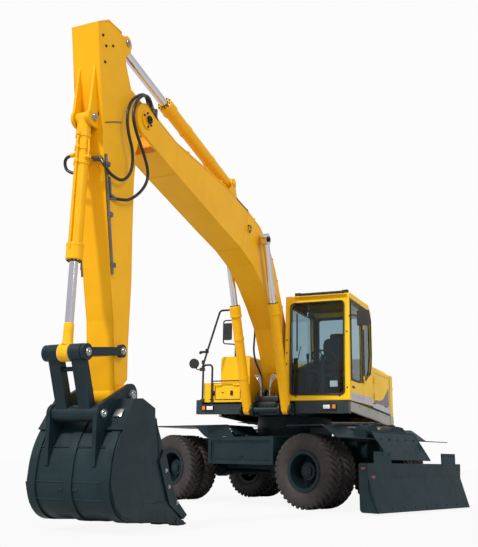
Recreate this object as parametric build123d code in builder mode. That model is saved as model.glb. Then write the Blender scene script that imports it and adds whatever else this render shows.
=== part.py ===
"""Wheeled excavator: a wheeled chassis with a dozer blade, a slewing upper body, and a boom, arm and bucket.

Frame: +X runs forward along the boom, +Y to the cab side, +Z up; the origin is on the ground under the slew axis.
The chassis stands turned under the upper body, with its blade end on the heading `chassis_heading`.
Chassis pieces are drawn on chassis planes: chassis x runs to the blade, chassis y to the left of that.
"""
import os
from math import atan2, cos, degrees, hypot, pi, radians, sin, tan

from build123d import *

os.makedirs("parts", exist_ok=True)

# ---------------------------------------------------------------- driving dimensions, mm
running_fit = 0.05          # radial clearance of a pin or shaft in its bore
seat_gap = 0.3              # between pieces that seat on each other
moving_gap = 6.0            # between bodies that pass each other
plate = 12.0                # common folded and welded plate

chassis_heading = 70.7      # degrees from the boom to the blade end
blade_axle_x = 1145.0       # fixed axle, chassis x
wheelbase = 2789.0
tyre_radius = 525.0
tyre_width = 278.0
twin_spacing = 330.0
track_outer = 1246.0        # chassis centre to the outer tyre's outer face
rim_half = 105.0
rim_flange_radius = 285.0
rim_radius = 250.0
hub_radius = 150.0
spindle_radius = 60.0
kingpin_radius = 25.0
kingpin_inset = 177.0       # inside the inner tyre's centre
steering_lock = 25.0

frame_half = 360.0
frame_top = 1020.0
frame_belly = 520.0
frame_arch = 680.0          # frame underside above the axles
bearing_base = 1160.0
deck_bottom = 1335.0
deck_top = 1535.0
bearing_radius = 620.0

blade_width = 2503.0
blade_front = 2390.0        # cutting edge, chassis x
blade_bottom = 26.0
blade_top = 655.0

body_half = 1250.0          # side faces of the upper body
cab_front = 1160.0
cab_rear = -180.0
cab_inner = 262.0
cab_outer = 1272.0
cab_bottom = deck_top + 0.3
cab_top = 3150.0
cab_wall = 45.0
door_rear = 380.0
door_front = 1105.0
door_sill = 1600.0
door_head = 3070.0
housing_top = 2220.0
counterweight_front = -1450.0
tail = -2660.0

boom_foot = (520.0, 1700.0)
boom_half = 195.0
arm_pivot = (5319.0, 4307.0)
arm_half = 160.0
bucket_pivot = (5491.0, 1282.0)
rocker_pivot = (5609.0, 1703.0)
link_pin = (6195.0, 1622.0)
bucket_link_pin = (5982.0, 1073.0)
bucket_half = 470.0

boom_cylinder_foot = (1240.0, 1400.0)
boom_cylinder_eye = (2090.0, 3800.0)
boom_cylinder_y = 310.0
arm_cylinder_foot = (2800.0, 4447.0)
arm_cylinder_eye = (5650.0, 5091.0)
bucket_cylinder_foot = (6172.0, 3990.0)

hinge_radius = 11.0         # door and lid hinges
hinge_pin = 6.0
hinge_leaf = 6.0
hinge_length = 55.0

pivot_pin = 45.0            # pin radii
link_pin_radius = 38.0

# ---------------------------------------------------------------- planes and helpers
heading = radians(chassis_heading)
CHASSIS = Plane(origin=(0, 0, 0), x_dir=(cos(heading), sin(heading), 0), z_dir=(0, 0, 1))
steer_axle_x = blade_axle_x - wheelbase
twin_outer = track_outer - tyre_width / 2
twin_inner = twin_outer - twin_spacing
kingpin_y = twin_inner - kingpin_inset
hub_face = kingpin_y + 55                # where a hub begins on its spindle
dish = twin_inner + 158                  # the dished disc of the rims


def on_chassis(flat):
    """The same plane, carried round with the chassis."""
    return Plane(CHASSIS.location * flat.location)


def axle_plane(along, side):
    """Through a wheel's axle: sketch x runs outward along the axle from the chassis centre, sketch y is up."""
    outward = CHASSIS.y_dir * side
    origin = CHASSIS.from_local_coords(Vector(along, 0, tyre_radius))
    return Plane(origin=origin, x_dir=outward, z_dir=outward.cross(Vector(0, 0, 1)))


def side_view(y=0.0):
    """Seen from the right: sketch x is forward and sketch y is up, at this distance to the left."""
    return Plane(origin=(0, y, 0), x_dir=(1, 0, 0), z_dir=(0, -1, 0))


def along(foot, eye, y=0.0):
    """In a side view: sketch x runs from the foot pin to the eye pin."""
    return Plane(origin=(foot[0], y, foot[1]), x_dir=(eye[0] - foot[0], 0, eye[1] - foot[1]), z_dir=(0, -1, 0))


def distance(a, b):
    return hypot(b[0] - a[0], b[1] - a[1])


def outline(points, radius=0.0):
    """A closed outline through the points, its corners rounded."""
    with BuildLine() as edge:
        if radius:
            FilletPolyline(*points, radius=radius, close=True)
        else:
            Polyline(*points, close=True)
    make_face(edge.edges())


def slab(x0, x1, y0, y1):
    """A rectangle between these limits."""
    with Locations(((x0 + x1) / 2, (y0 + y1) / 2)):
        Rectangle(abs(x1 - x0), abs(y1 - y0))


def block(x0, x1, y0, y1, z0, z1, mode=Mode.ADD):
    """A box between these limits."""
    with Locations(((x0 + x1) / 2, (y0 + y1) / 2, (z0 + z1) / 2)):
        Box(abs(x1 - x0), abs(y1 - y0), abs(z1 - z0), mode=mode)


def disc(at, radius, mode=Mode.ADD):
    """A round of this radius in the sketch."""
    with Locations(at):
        Circle(radius, mode=mode)


def plates(base, inner, outer, draw, mode=Mode.ADD):
    """What `draw` sketches, as a plate on each side, between these distances from the base plane."""
    for side in (1, -1):
        with BuildSketch(base.offset(side * inner)) as flat:
            draw()
        extrude(flat.sketch, amount=side * (outer - inner), mode=mode)


def slice_through(base, half, draw, mode=Mode.ADD):
    """What `draw` sketches on the base plane, as a solid this far to each side of it."""
    with BuildSketch(base) as flat:
        draw()
    extrude(flat.sketch, amount=half, both=True, mode=mode)


def across(x, z, radius, y0, y1, mode=Mode.ADD):
    """A round bar along Y."""
    with BuildSketch(side_view(y1)) as flat:
        disc((x, z), radius)
    extrude(flat.sketch, amount=y1 - y0, mode=mode)


def hinge_knuckle(pin_line, low, high, leaf_end, bored):
    """Half a hinge: a knuckle with its leaf, on a plane whose z runs along the pin and x to the moving leaf."""
    with BuildSketch(pin_line.offset(low)) as knuckle:
        Circle(hinge_radius)
        slab(0, leaf_end, -hinge_radius, -hinge_radius + hinge_leaf)
    extrude(knuckle.sketch, amount=high - low)
    if bored:
        with BuildSketch(pin_line.offset(low - 1)) as bore:
            Circle(hinge_pin + running_fit)
        extrude(bore.sketch, amount=high - low + 2, mode=Mode.SUBTRACT)


def hinge_fixed(pin_line, stations, leaf_end):
    """The fixed halves at these places along the pin, each with the pin that reaches through the moving half."""
    for at in stations:
        hinge_knuckle(pin_line, at - hinge_length, at - seat_gap / 2, leaf_end, False)
        with BuildSketch(pin_line.offset(at - hinge_length / 2)) as pin:
            Circle(hinge_pin)
        extrude(pin.sketch, amount=hinge_length * 1.4)


def hinge_moving(pin_line, stations, leaf_end):
    """The moving halves at these places along the pin."""
    for at in stations:
        hinge_knuckle(pin_line, at + seat_gap / 2, at + hinge_length, leaf_end, True)


# ---------------------------------------------------------------- chassis
frame_nose = 1480.0
belly = [(-2030, frame_arch), (-1300, frame_arch), (-1140, frame_belly), (600, frame_belly),
         (740, frame_arch), (frame_nose, frame_arch), (frame_nose, frame_top), (-2030, frame_top)]
lashing_x = -2090.0         # lashing eyes at the steered end, bored along the chassis's y
lashing_y = 260.0
lashing_z = 860.0
lashing_bore = 32.0
lashing_plate = 40.0
box_x = (-790.0, 570.0)     # side boxes
box_y = (700.0, track_outer - 46)
box_z = (600.0, 1010.0)

with BuildPart(CHASSIS) as chassis_frame:
    with BuildSketch(on_chassis(Plane.XZ)):
        outline(belly, 40)
    extrude(amount=frame_half, both=True)
    block(-660, 660, -600, 600, frame_top - 130, frame_top + 30)
    with BuildSketch(on_chassis(Plane.XY.offset(frame_top + 30))):
        Circle(bearing_radius - 20)
    with BuildSketch(on_chassis(Plane.XY.offset(bearing_base))):
        Circle(bearing_radius)
    loft()
    for x in (-560.0, 340.0):
        block(x - 60, x + 60, -box_y[0], box_y[0], 740, 960)
    plates(on_chassis(Plane.XZ), lashing_y - lashing_plate / 2, lashing_y + lashing_plate / 2, lambda: (
        slab(lashing_x, -2000, lashing_z - 60, lashing_z + 60),
        disc((lashing_x, lashing_z), 60),
        disc((lashing_x, lashing_z), lashing_bore, mode=Mode.SUBTRACT)))
chassis_frame.part.label = "chassis_frame"
export_step(chassis_frame.part, "parts/chassis_frame.step")

bearing_split = (bearing_base + deck_bottom) / 2
spigot_radius = 440.0
with BuildPart(CHASSIS) as slew_ring:
    with BuildSketch(on_chassis(Plane.XY.offset(bearing_base))):
        Circle(bearing_radius - 10)
        Circle(spigot_radius + running_fit, mode=Mode.SUBTRACT)
    extrude(amount=bearing_split - bearing_base - seat_gap)
slew_ring.part.label = "slew_ring"
export_step(slew_ring.part, "parts/slew_ring.step")

with BuildPart(CHASSIS) as side_boxes:
    for side in (1, -1):
        y0, y1 = side * box_y[0], side * box_y[1]
        block(*box_x, y0, y1, *box_z)
        block(box_x[0] + 60, box_x[1] - 60, y1 - side * 22, y1 + side, box_z[0] + 60, box_z[1] - 60, mode=Mode.SUBTRACT)
side_boxes.part.label = "side_boxes"
export_step(side_boxes.part, "parts/side_boxes.step")

fender_inner = 370.0
blade_fender_inner = 600.0
fender_outer = track_outer - 46
steer_fender = [(-2080, 1190), (-370, 1190), (-190, 1050)]
blade_fender = [(820, 1165), (1470, 1165), (1720, 1000), (2090, 985)]


def folded(points, thickness):
    """A folded sheet under this line, as an outline."""
    low = [(x, z - thickness) for x, z in reversed(points)]
    outline(points + low)


with BuildPart(CHASSIS) as fenders:
    plates(on_chassis(Plane.XZ), fender_inner, fender_outer, lambda: folded(steer_fender, plate))
    plates(on_chassis(Plane.XZ), blade_fender_inner, fender_outer, lambda: folded(blade_fender, plate))
    for side in (1, -1):
        for x, top, reach in ((-1560.0, 1190, fender_inner), (-950.0, 1190, fender_inner),
                              (900.0, 1165, blade_fender_inner), (1330.0, 1165, blade_fender_inner)):
            block(x - 6, x + 6, side * 200, side * (reach + 120), frame_top + seat_gap, top - plate)
    block(-700, 0, -640, 640, 1000, 1300, mode=Mode.SUBTRACT)
    plates(on_chassis(Plane.XZ), fender_outer - plate, fender_outer,
           lambda: outline([(-1110, 1180), (-380, 1180), (-225, 1012), (-870, 1012)]))
fenders.part.label = "fenders"
export_step(fenders.part, "parts/fenders.step")

axle_pad_y = 250.0
steer_cylinder_x = steer_axle_x - 250
steer_cylinder_z = tyre_radius + 62
rod_radius_steer = 18.0


def turned(plane, half_profile):
    """A solid turned about a wheel's axle: (distance out from the chassis centre, radius) along its length."""
    ends = [(half_profile[0][0], 0.0), *half_profile, (half_profile[-1][0], 0.0)]
    with BuildSketch(plane) as flat:
        outline(ends)
    revolve(flat.sketch, axis=Axis(plane.origin, plane.x_dir))


differential = [(0, 148), (90, 148), (200, 95), (470, 85)]
nose_reach = 230.0
drive_z = tyre_radius - 60
yoke_gap = 87.0             # half the height between the yoke's arms
with BuildPart(CHASSIS) as axles:
    for x in (blade_axle_x, steer_axle_x):
        for side in (1, -1):
            turned(axle_plane(x, side), differential)
            y0, y1 = side * (axle_pad_y - 60), side * (axle_pad_y + 60)
            block(x - 70, x + 70, y0, y1, tyre_radius + 20, frame_arch - seat_gap)
        inward = -1 if x > 0 else 1
        with BuildSketch(on_chassis(Plane.YZ.offset(x + inward * nose_reach))):
            disc((0, drive_z), 62)
        extrude(amount=-inward * (nose_reach - 60))
    for side in (1, -1):
        turned(axle_plane(blade_axle_x, side), [(465, 85), (500, 85), (500, 165), (kingpin_y, 165),
                                                (kingpin_y, spindle_radius), (dish + 60, spindle_radius)])
        with BuildSketch(on_chassis(Plane.YZ.offset(steer_axle_x - 52))):
            outline([(side * y, tyre_radius + z) for y, z in (
                (440, -70), (465, -135), (kingpin_y + 45, -135), (kingpin_y + 45, -yoke_gap), (500, -yoke_gap),
                (500, yoke_gap), (kingpin_y + 45, yoke_gap), (kingpin_y + 45, 135), (465, 135), (440, 70))])
        extrude(amount=104)
        with Locations((steer_axle_x, side * kingpin_y, tyre_radius)):
            Cylinder(kingpin_radius, 200)
    slice_through(on_chassis(Plane.XZ), 240, lambda: disc((steer_cylinder_x, steer_cylinder_z), 46))
    block(steer_cylinder_x + 10, steer_axle_x - 100, -70, 70, steer_cylinder_z - 30, steer_cylinder_z + 10)
    block(steer_axle_x - 160, steer_axle_x - 60, -70, 70, tyre_radius + 20, steer_cylinder_z + 10)
    slice_through(on_chassis(Plane.XZ), 400,
                  lambda: disc((steer_cylinder_x, steer_cylinder_z), rod_radius_steer + running_fit), mode=Mode.SUBTRACT)
axles.part.label = "axles"
export_step(axles.part, "parts/axles.step")

gearbox_x = -150.0
with BuildPart(CHASSIS) as drive_line:
    block(gearbox_x - 190, gearbox_x + 190, -200, 200, 380, frame_belly - seat_gap)
    for x0, x1 in ((gearbox_x + 180, blade_axle_x - nose_reach - seat_gap),
                   (steer_axle_x + nose_reach + seat_gap, gearbox_x - 180)):
        with BuildSketch(on_chassis(Plane.YZ.offset(x0))):
            disc((0, drive_z), 38)
        extrude(amount=x1 - x0)
drive_line.part.label = "drive_line"
export_step(drive_line.part, "parts/drive_line.step")

# ---------------------------------------------------------------- knuckles, steering rod and wheels
arm_end_y = kingpin_y - 55
for name, side in (("left", 1), ("right", -1)):
    plane = axle_plane(steer_axle_x, side)
    with BuildPart(CHASSIS) as knuckle:
        with Locations((steer_axle_x, side * kingpin_y, tyre_radius)):
            Cylinder(58, 170)
        with BuildSketch(plane):
            slab(kingpin_y, hub_face, 0, spindle_radius)
            slab(hub_face, hub_face + 30, 0, yoke_gap - 5)
            slab(hub_face + 30, dish + 60, 0, spindle_radius)
        revolve(axis=Axis(plane.origin, plane.x_dir))
        with BuildSketch(on_chassis(Plane.XY.offset(tyre_radius - 25))):
            outline([(steer_axle_x, side * (kingpin_y + 40)), (steer_axle_x, side * (kingpin_y - 40)),
                     (steer_cylinder_x, side * (arm_end_y - 35)), (steer_cylinder_x, side * (arm_end_y + 35))])
            disc((steer_cylinder_x, side * arm_end_y), 35)
        extrude(amount=50)
        with Locations((steer_axle_x, side * kingpin_y, tyre_radius)):
            Cylinder(kingpin_radius + running_fit, 200, mode=Mode.SUBTRACT)
    knuckle.part.label = f"knuckle_{name}"
    export_step(knuckle.part, f"parts/knuckle_{name}.step")

rod_reach = arm_end_y - 40
with BuildPart(CHASSIS) as steering_rod:
    with BuildSketch(on_chassis(Plane.XZ)):
        disc((steer_cylinder_x, steer_cylinder_z), rod_radius_steer)
    extrude(amount=rod_reach, both=True)
    for side in (1, -1):
        with Locations((steer_cylinder_x, side * arm_end_y, steer_cylinder_z)):
            Cylinder(42, 52)
steering_rod.part.label = "steering_rod"
export_step(steering_rod.part, "parts/steering_rod.step")

bead_half = rim_half - 10 - seat_gap
bead_radius = rim_radius + seat_gap
wheels = [("blade_left", blade_axle_x, 1), ("blade_right", blade_axle_x, -1),
          ("steer_left", steer_axle_x, 1), ("steer_right", steer_axle_x, -1)]


tyre_sides = 36
tread_half = 104.0
wall_radius = 450.0         # where the side wall is widest


def tyre_band(plane, at, reach, radius, taper=0.0, mode=Mode.ADD):
    """A many-sided band about the axle from this distance out, with a flat on the ground."""
    with BuildSketch(Plane(origin=plane.origin + plane.x_dir * at, x_dir=plane.y_dir, z_dir=plane.x_dir * reach)) as flat:
        RegularPolygon(radius, tyre_sides, major_radius=False, rotation=180 / tyre_sides)
    extrude(flat.sketch, amount=abs(reach), taper=taper, mode=mode)


def tyre_ring(plane, centre):
    """One tyre about this middle, in flat bands."""
    half = tyre_width / 2
    shoulder_taper = degrees(atan2(tyre_radius - wall_radius, half - tread_half))
    for s in (1, -1):
        tyre_band(plane, centre, s * tread_half, tyre_radius)
        tyre_band(plane, centre + s * tread_half, s * (half - tread_half), tyre_radius, shoulder_taper)
        tyre_band(plane, centre + s * bead_half, s * (half - bead_half), rim_flange_radius + 12, mode=Mode.SUBTRACT)


for name, along_x, side in wheels:
    plane = axle_plane(along_x, side)
    spin = Axis(plane.origin, plane.x_dir)
    with BuildPart() as tyres:
        tyre_ring(plane, twin_inner)
        tyre_ring(plane, twin_outer)
        with BuildSketch(Plane(origin=plane.origin, x_dir=plane.y_dir, z_dir=plane.x_dir)):
            RegularPolygon(bead_radius, tyre_sides, major_radius=False, rotation=180 / tyre_sides)
        extrude(amount=track_outer + 10, mode=Mode.SUBTRACT)
    tyres.part.label = f"tyres_{name}"
    export_step(tyres.part, f"parts/tyres_{name}.step")

    with BuildPart() as rims:
        with BuildSketch(plane):
            slab(twin_inner - rim_half, twin_outer + rim_half, rim_radius - 12, rim_radius)
            for centre in (twin_inner, twin_outer):
                slab(centre - rim_half, centre - rim_half + 10, rim_radius - 12, rim_flange_radius)
                slab(centre + rim_half - 10, centre + rim_half, rim_radius - 12, rim_flange_radius)
            slab(dish, dish + 20, spindle_radius + running_fit, rim_radius)
            slab(hub_face + 45, dish + 20, spindle_radius + running_fit, hub_radius)
            slab(dish + 20, dish + 65, spindle_radius + running_fit, 125)
            slab(dish + 65, dish + 165, 0, 125)
            slab(dish + 165, dish + 190, 0, 70)
        revolve(axis=spin)
    rims.part.label = f"rims_{name}"
    export_step(rims.part, f"parts/rims_{name}.step")

# ---------------------------------------------------------------- dozer blade, on its two arms
blade_pin = 30.0
blade_pivot = (1600.0, 400.0)
blade_arm_end = (2240.0, 300.0)
blade_arm_inner = 298.0
blade_arm_outer = 362.0
blade_cylinder_base = (1700.0, 860.0)
blade_cylinder_tip = (2125.0, 400.0)
blade_cylinder_y = 125.0
guard_top = (1870.0, 1090.0)
guard_foot = (2140.0, 700.0)
guard_half = 575.0


def bar(a, b, radius):
    """The outline of a bar with a round end about each of two points."""
    turn = degrees(atan2(b[1] - a[1], b[0] - a[0]))
    with Locations(Location(((a[0] + b[0]) / 2, (a[1] + b[1]) / 2), turn)):
        Rectangle(distance(a, b), 2 * radius)
    disc(a, radius)
    disc(b, radius)


cheek_inner = 232.0
cheek_outer = 262.0
with BuildPart(CHASSIS) as blade_mount:
    plates(on_chassis(Plane.XZ), cheek_inner, cheek_outer, lambda: (
        outline([(frame_nose, frame_arch), (1535, 400), (1665, 400), (1780, 560), (1925, 760), (1925, 1010), (1862, 1084),
                 (frame_nose, frame_top)]),
        disc(blade_pivot, 68)))
    slice_through(on_chassis(Plane.XZ), guard_half, lambda: outline(
        [guard_top, guard_foot, (guard_foot[0] - 14, guard_foot[1]), (guard_top[0] - 14, guard_top[1] - 4)]))
    plates(on_chassis(Plane.XZ), cheek_inner, blade_arm_outer + 12, lambda: disc(blade_pivot, blade_pin))
    slice_through(on_chassis(Plane.XZ), cheek_outer, lambda: disc(blade_cylinder_base, blade_pin))
blade_mount.part.label = "blade_mount"
export_step(blade_mount.part, "parts/blade_mount.step")

skin = 16.0
fold_z = 290.0
with BuildPart(CHASSIS) as dozer_blade:
    with BuildSketch(on_chassis(Plane.XZ)):
        with BuildLine():
            front = Polyline((2262, blade_top), (2252, 430))
            curve = ThreePointArc((2252, 430), (2266, 280), (2318, 150))
            edge = Line((2318, 150), (blade_front, blade_bottom))
            Polyline((blade_front, blade_bottom), (blade_front - 30, blade_bottom), (2318 - skin - 6, 140))
            ThreePointArc((2318 - skin - 6, 140), (2266 - skin, 275), (2252 - skin, 430))
            Polyline((2252 - skin, 430), (2262 - skin, blade_top), (2262, blade_top))
        make_face()
    extrude(amount=blade_width / 2, both=True)
    plates(on_chassis(Plane.XZ), blade_width / 2 - 14, blade_width / 2, lambda: outline(
        [(2118, blade_bottom + 30), (2150, blade_bottom), (2375, blade_bottom), (2300, 150), (2245, 280),
         (2240, blade_top), (2125, blade_top), (2110, blade_top - 20)]))
    with BuildSketch(on_chassis(Plane.XZ)):
        slab(2225, 2250, 420, 530)
        outline([(2215, 180), (2215, 250), (2265, 250), (2295, 180)])
    extrude(amount=blade_width / 2 - 10, both=True)
    plates(on_chassis(Plane.XZ), 690, 1100, lambda: slab(2262 - skin, 2262, blade_top - 5, 805))
    plates(on_chassis(Plane.XZ), blade_arm_inner, blade_arm_outer, lambda: bar(blade_pivot, blade_arm_end, 50))
    plates(on_chassis(Plane.XZ), blade_arm_inner, blade_arm_outer, lambda: disc(blade_pivot, 70))
    plates(on_chassis(Plane.XZ), blade_arm_inner, blade_arm_outer, lambda: outline(
        [(2060, 310), (2225, 560), (2245, 560), (2275, 190), (2190, 190)]))
    plates(on_chassis(Plane.XZ), blade_arm_inner - 10, blade_arm_outer + 10, lambda: disc(blade_pivot, blade_pin + running_fit),
           mode=Mode.SUBTRACT)
    for inner in (blade_cylinder_y - 72, blade_cylinder_y + 46):
        plates(on_chassis(Plane.XZ), inner, inner + 26, lambda: (
            outline([(2080, 350), (2080, 440), (2190, 450), (2245, 450), (2275, 200), (2180, 215)]),
            disc(blade_cylinder_tip, 50)))
dozer_blade.part.label = "dozer_blade"
export_step(dozer_blade.part, "parts/dozer_blade.step")


def barrel(foot, eye, length, radius, half_boss, ys, pin_radius, rod_radius, view=side_view):
    """Cylinder barrels: a boss on the foot pin, the tube, the head ring and the bore of the rod."""
    boss = radius * 0.95
    for y in ys:
        base = view(y)
        reach = base.from_local_coords(Vector(*eye, 0)) - base.from_local_coords(Vector(*foot, 0))
        axis = Plane(origin=base.from_local_coords(Vector(*foot, 0)), x_dir=base.z_dir, z_dir=reach)
        with BuildSketch(axis) as tube_end:
            Circle(radius)
        extrude(tube_end.sketch, amount=length)
        with BuildSketch(axis.offset(length - 150)) as head:
            Circle(radius + 12)
        extrude(head.sketch, amount=150)
        slice_through(base, half_boss, lambda: disc(foot, boss))
        slice_through(base, half_boss * 2, lambda: disc(foot, pin_radius + running_fit), mode=Mode.SUBTRACT)
        with BuildSketch(axis.offset(boss + 30)) as bore:
            Circle(rod_radius + running_fit)
        extrude(bore.sketch, amount=length, mode=Mode.SUBTRACT)


def rod(foot, eye, start_at, radius, half_boss, ys, boss, view=side_view):
    """Cylinder rods: a shaft from inside the barrel to its eye."""
    for y in ys:
        base = view(y)
        reach = base.from_local_coords(Vector(*eye, 0)) - base.from_local_coords(Vector(*foot, 0))
        axis = Plane(origin=base.from_local_coords(Vector(*foot, 0)), x_dir=base.z_dir, z_dir=reach)
        with BuildSketch(axis.offset(start_at)) as shaft:
            Circle(radius)
        extrude(shaft.sketch, amount=reach.length - start_at - boss * 0.6)
        slice_through(base, half_boss, lambda: disc(eye, boss))


def chassis_view(y):
    """The chassis seen from its right, at this distance to its left."""
    return on_chassis(Plane.XZ).offset(-y)


blade_cylinder_ys = (blade_cylinder_y, -blade_cylinder_y)
with BuildPart() as blade_barrels:
    barrel(blade_cylinder_base, blade_cylinder_tip, 390, 50, 45, blade_cylinder_ys, blade_pin, 28, chassis_view)
blade_barrels.part.label = "blade_barrels"
export_step(blade_barrels.part, "parts/blade_barrels.step")

with BuildPart() as blade_rods:
    rod(blade_cylinder_base, blade_cylinder_tip, 220, 28, 40, blade_cylinder_ys, 46, chassis_view)
blade_rods.part.label = "blade_rods"
export_step(blade_rods.part, "parts/blade_rods.step")

# ---------------------------------------------------------------- upper body: deck, engine, housings
tower_inner = boom_half + 8
tower_outer = tower_inner + 26
lug_outer = boom_cylinder_y + 104
lug_front = boom_cylinder_foot[0] + 88
with BuildPart() as deck:
    with BuildSketch(Plane.XY.offset(bearing_split)):
        Circle(bearing_radius - 20)
    extrude(amount=deck_bottom - bearing_split)
    with BuildSketch(Plane.XY.offset(bearing_base + 10)):
        Circle(spigot_radius)
        Circle(spigot_radius - 60, mode=Mode.SUBTRACT)
    extrude(amount=deck_bottom - bearing_base - 10)
    block(-1960, 1100, -lug_outer, lug_outer, deck_bottom, deck_top - 25)
    block(-1440, 1040, 60 - body_half, body_half - 60, deck_bottom + 75, deck_top)
    plates(side_view(), tower_inner, tower_outer, lambda: (
        outline([(-1000, deck_top - 40), (-150, 1960), (300, 1960), (680, 1800), (1120, deck_top - 40)]),
        disc(boom_foot, 190)))
    for inner in (tower_inner, lug_outer - 26):
        plates(side_view(), inner, inner + 26, lambda: (
            slab(1000, boom_cylinder_foot[0], 1345, 1490), disc(boom_cylinder_foot, 85)))
    across(boom_foot[0], boom_foot[1], pivot_pin, -tower_outer - 12, tower_outer + 12)
    across(boom_cylinder_foot[0], boom_cylinder_foot[1], pivot_pin, -lug_outer - 10, lug_outer + 10)
deck.part.label = "deck"
export_step(deck.part, "parts/deck.step")

shoulder = (-2200.0, body_half - 150)
corner = (-2610.0, body_half - 770)


counterweight_low = 1275.0


def tail_plan():
    """The counterweight in plan."""
    for s in (1, -1):
        with BuildLine() as edge:
            Line((counterweight_front, 0), (counterweight_front, s * body_half))
            ThreePointArc((counterweight_front, s * body_half), (-1840, s * (body_half - 38)), (shoulder[0], s * shoulder[1]))
            ThreePointArc((shoulder[0], s * shoulder[1]), (-2470, s * 860), (corner[0], s * corner[1]))
            ThreePointArc((corner[0], s * corner[1]), (tail + 12, s * 240), (tail, 0))
            Line((tail, 0), (counterweight_front, 0))
        make_face(edge.edges())


with BuildPart() as counterweight:
    with BuildSketch(Plane.XY.offset(counterweight_low)):
        tail_plan()
    extrude(amount=housing_top - 60 - counterweight_low)
    block(-1960, 0, 120 - body_half, body_half - 120, counterweight_low, 2600, mode=Mode.SUBTRACT)
counterweight.part.label = "counterweight"
export_step(counterweight.part, "parts/counterweight.step")

with BuildPart() as engine:
    block(-1800, -1080, -760, 520, deck_top + seat_gap, 2110)
engine.part.label = "engine"
export_step(engine.part, "parts/engine.step")

housing_front = -250.0
hood_y = (290 - body_half, body_half - 290)
hood_x = (-1440.0, -420.0)
hood_slots = 7
louvres = 8
# each hinge line: z along the pin, x to the moving leaf, y outward from the panel
service_hinge = Plane(origin=(-332, body_half + hinge_radius, 0), x_dir=(-1, 0, 0), z_dir=(0, 0, -1))
service_hinges = (-1960.0, -1700.0)
hood_hinge = Plane(origin=(hood_x[1] + 8, 0, housing_top + hinge_radius), x_dir=(-1, 0, 0), z_dir=(0, 1, 0))
hood_hinges = (-600.0, 0.0, 600.0)
with BuildPart() as engine_housing:
    with BuildSketch(Plane.YZ.offset(counterweight_front + 2)):
        outline([(-body_half + 5, deck_top + seat_gap), (body_half, deck_top + seat_gap), (body_half, housing_top - 80),
                 (body_half - 90, housing_top), (-body_half + 95, housing_top), (-body_half + 5, housing_top - 80)])
    extrude(amount=housing_front - counterweight_front - 2)
    block(-2400, housing_front - 40, -body_half + 55, body_half - 50, deck_top, housing_top - 40, mode=Mode.SUBTRACT)
    block(hood_x[0] - 60, hood_x[1], *hood_y, housing_top - 60, housing_top + 10, mode=Mode.SUBTRACT)
    block(-1380, -330, body_half - 60, body_half + 10, deck_top + 60, 2090, mode=Mode.SUBTRACT)
    block(-500, 0, -tower_outer - 8, tower_outer + 8, deck_top, housing_top + 10, mode=Mode.SUBTRACT)
    for i in range(louvres):
        z = deck_top + 120 + i * 60
        block(-1350, -700, -body_half - 10, 17 - body_half, z, z + 28, mode=Mode.SUBTRACT)
    hinge_fixed(service_hinge, service_hinges, -45)
    hinge_fixed(hood_hinge, hood_hinges, -45)
engine_housing.part.label = "engine_housing"
export_step(engine_housing.part, "parts/engine_housing.step")

with BuildPart() as service_door:
    block(-1380 + 6, -330 - 6, body_half - 45, body_half, deck_top + 66, 2084)
    hinge_moving(service_hinge, service_hinges, 45)
service_door.part.label = "service_door"
export_step(service_door.part, "parts/service_door.step")

with BuildPart() as engine_hood:
    with BuildSketch(Plane.YZ.offset(hood_x[0] - 500)):
        outline([(hood_y[0] + 6, housing_top - 38), (hood_y[1] - 6, housing_top - 38), (hood_y[1] - 6, housing_top + 4),
                 (hood_y[1] - 120, housing_top + 60), (hood_y[0] + 120, housing_top + 60), (hood_y[0] + 6, housing_top + 4)])
    extrude(amount=hood_x[1] - 6 - hood_x[0] + 500)
    for i in range(hood_slots):
        x = hood_x[0] - 300 + i * 90
        block(x, x + 40, hood_y[0] + 220, hood_y[1] - 220, housing_top + 42, housing_top + 70, mode=Mode.SUBTRACT)
    hinge_moving(hood_hinge, hood_hinges, 45)
engine_hood.part.label = "engine_hood"
export_step(engine_hood.part, "parts/engine_hood.step")

tank_y = (125 - body_half, -460.0)
toolbox_top = 1836.0
door_y = (-925.0, -495.0)
toolbox_hinge = Plane(origin=(1110 + hinge_radius, 0, toolbox_top - 38), x_dir=(0, 0, -1), z_dir=(0, -1, 0))
toolbox_hinges = (555.0, 865.0)
with BuildPart() as tank_housing:
    block(housing_front + 8, 1110, *tank_y, deck_top + seat_gap, toolbox_top)
    with BuildSketch(Plane.YZ.offset(housing_front + 8)):
        outline([(-965, toolbox_top - 5), (-965, 2250), (-935, 2283), (-480, 2283), (-460, 2260), (-460, toolbox_top - 5)])
    extrude(amount=830 - housing_front - 8)
    with Locations((300, -720, 2283)):
        Cylinder(60, 60)
    block(380, 1120, door_y[0], door_y[1], deck_top + 40, toolbox_top - 35, mode=Mode.SUBTRACT)
    hinge_fixed(toolbox_hinge, toolbox_hinges, -30)
tank_housing.part.label = "tank_housing"
export_step(tank_housing.part, "parts/tank_housing.step")

with BuildPart() as toolbox_door:
    block(1074, 1110, door_y[0] + 6, door_y[1] - 6, deck_top + 46, toolbox_top - 41)
    hinge_moving(toolbox_hinge, toolbox_hinges, 30)
toolbox_door.part.label = "toolbox_door"
export_step(toolbox_door.part, "parts/toolbox_door.step")

skirt_top = deck_top + 35
with BuildPart() as step_skirts:
    block(1040 + seat_gap, cab_front - 5, lug_outer + 12, cab_outer - 25, 1350, deck_top)
    block(1040 + seat_gap, cab_front - 5, 20 - body_half, -lug_outer - 12, 1350, 1500)
    block(1040 + seat_gap, cab_front - 5, 20 - body_half, -1130 - seat_gap, 1350, skirt_top)
    block(300, 1041, 20 - body_half, -1130 - seat_gap, deck_top + seat_gap, skirt_top)
    block(300, 1041, 20 - body_half, 55 - body_half, 1480, skirt_top)
step_skirts.part.label = "step_skirts"
export_step(step_skirts.part, "parts/step_skirts.step")

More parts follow.
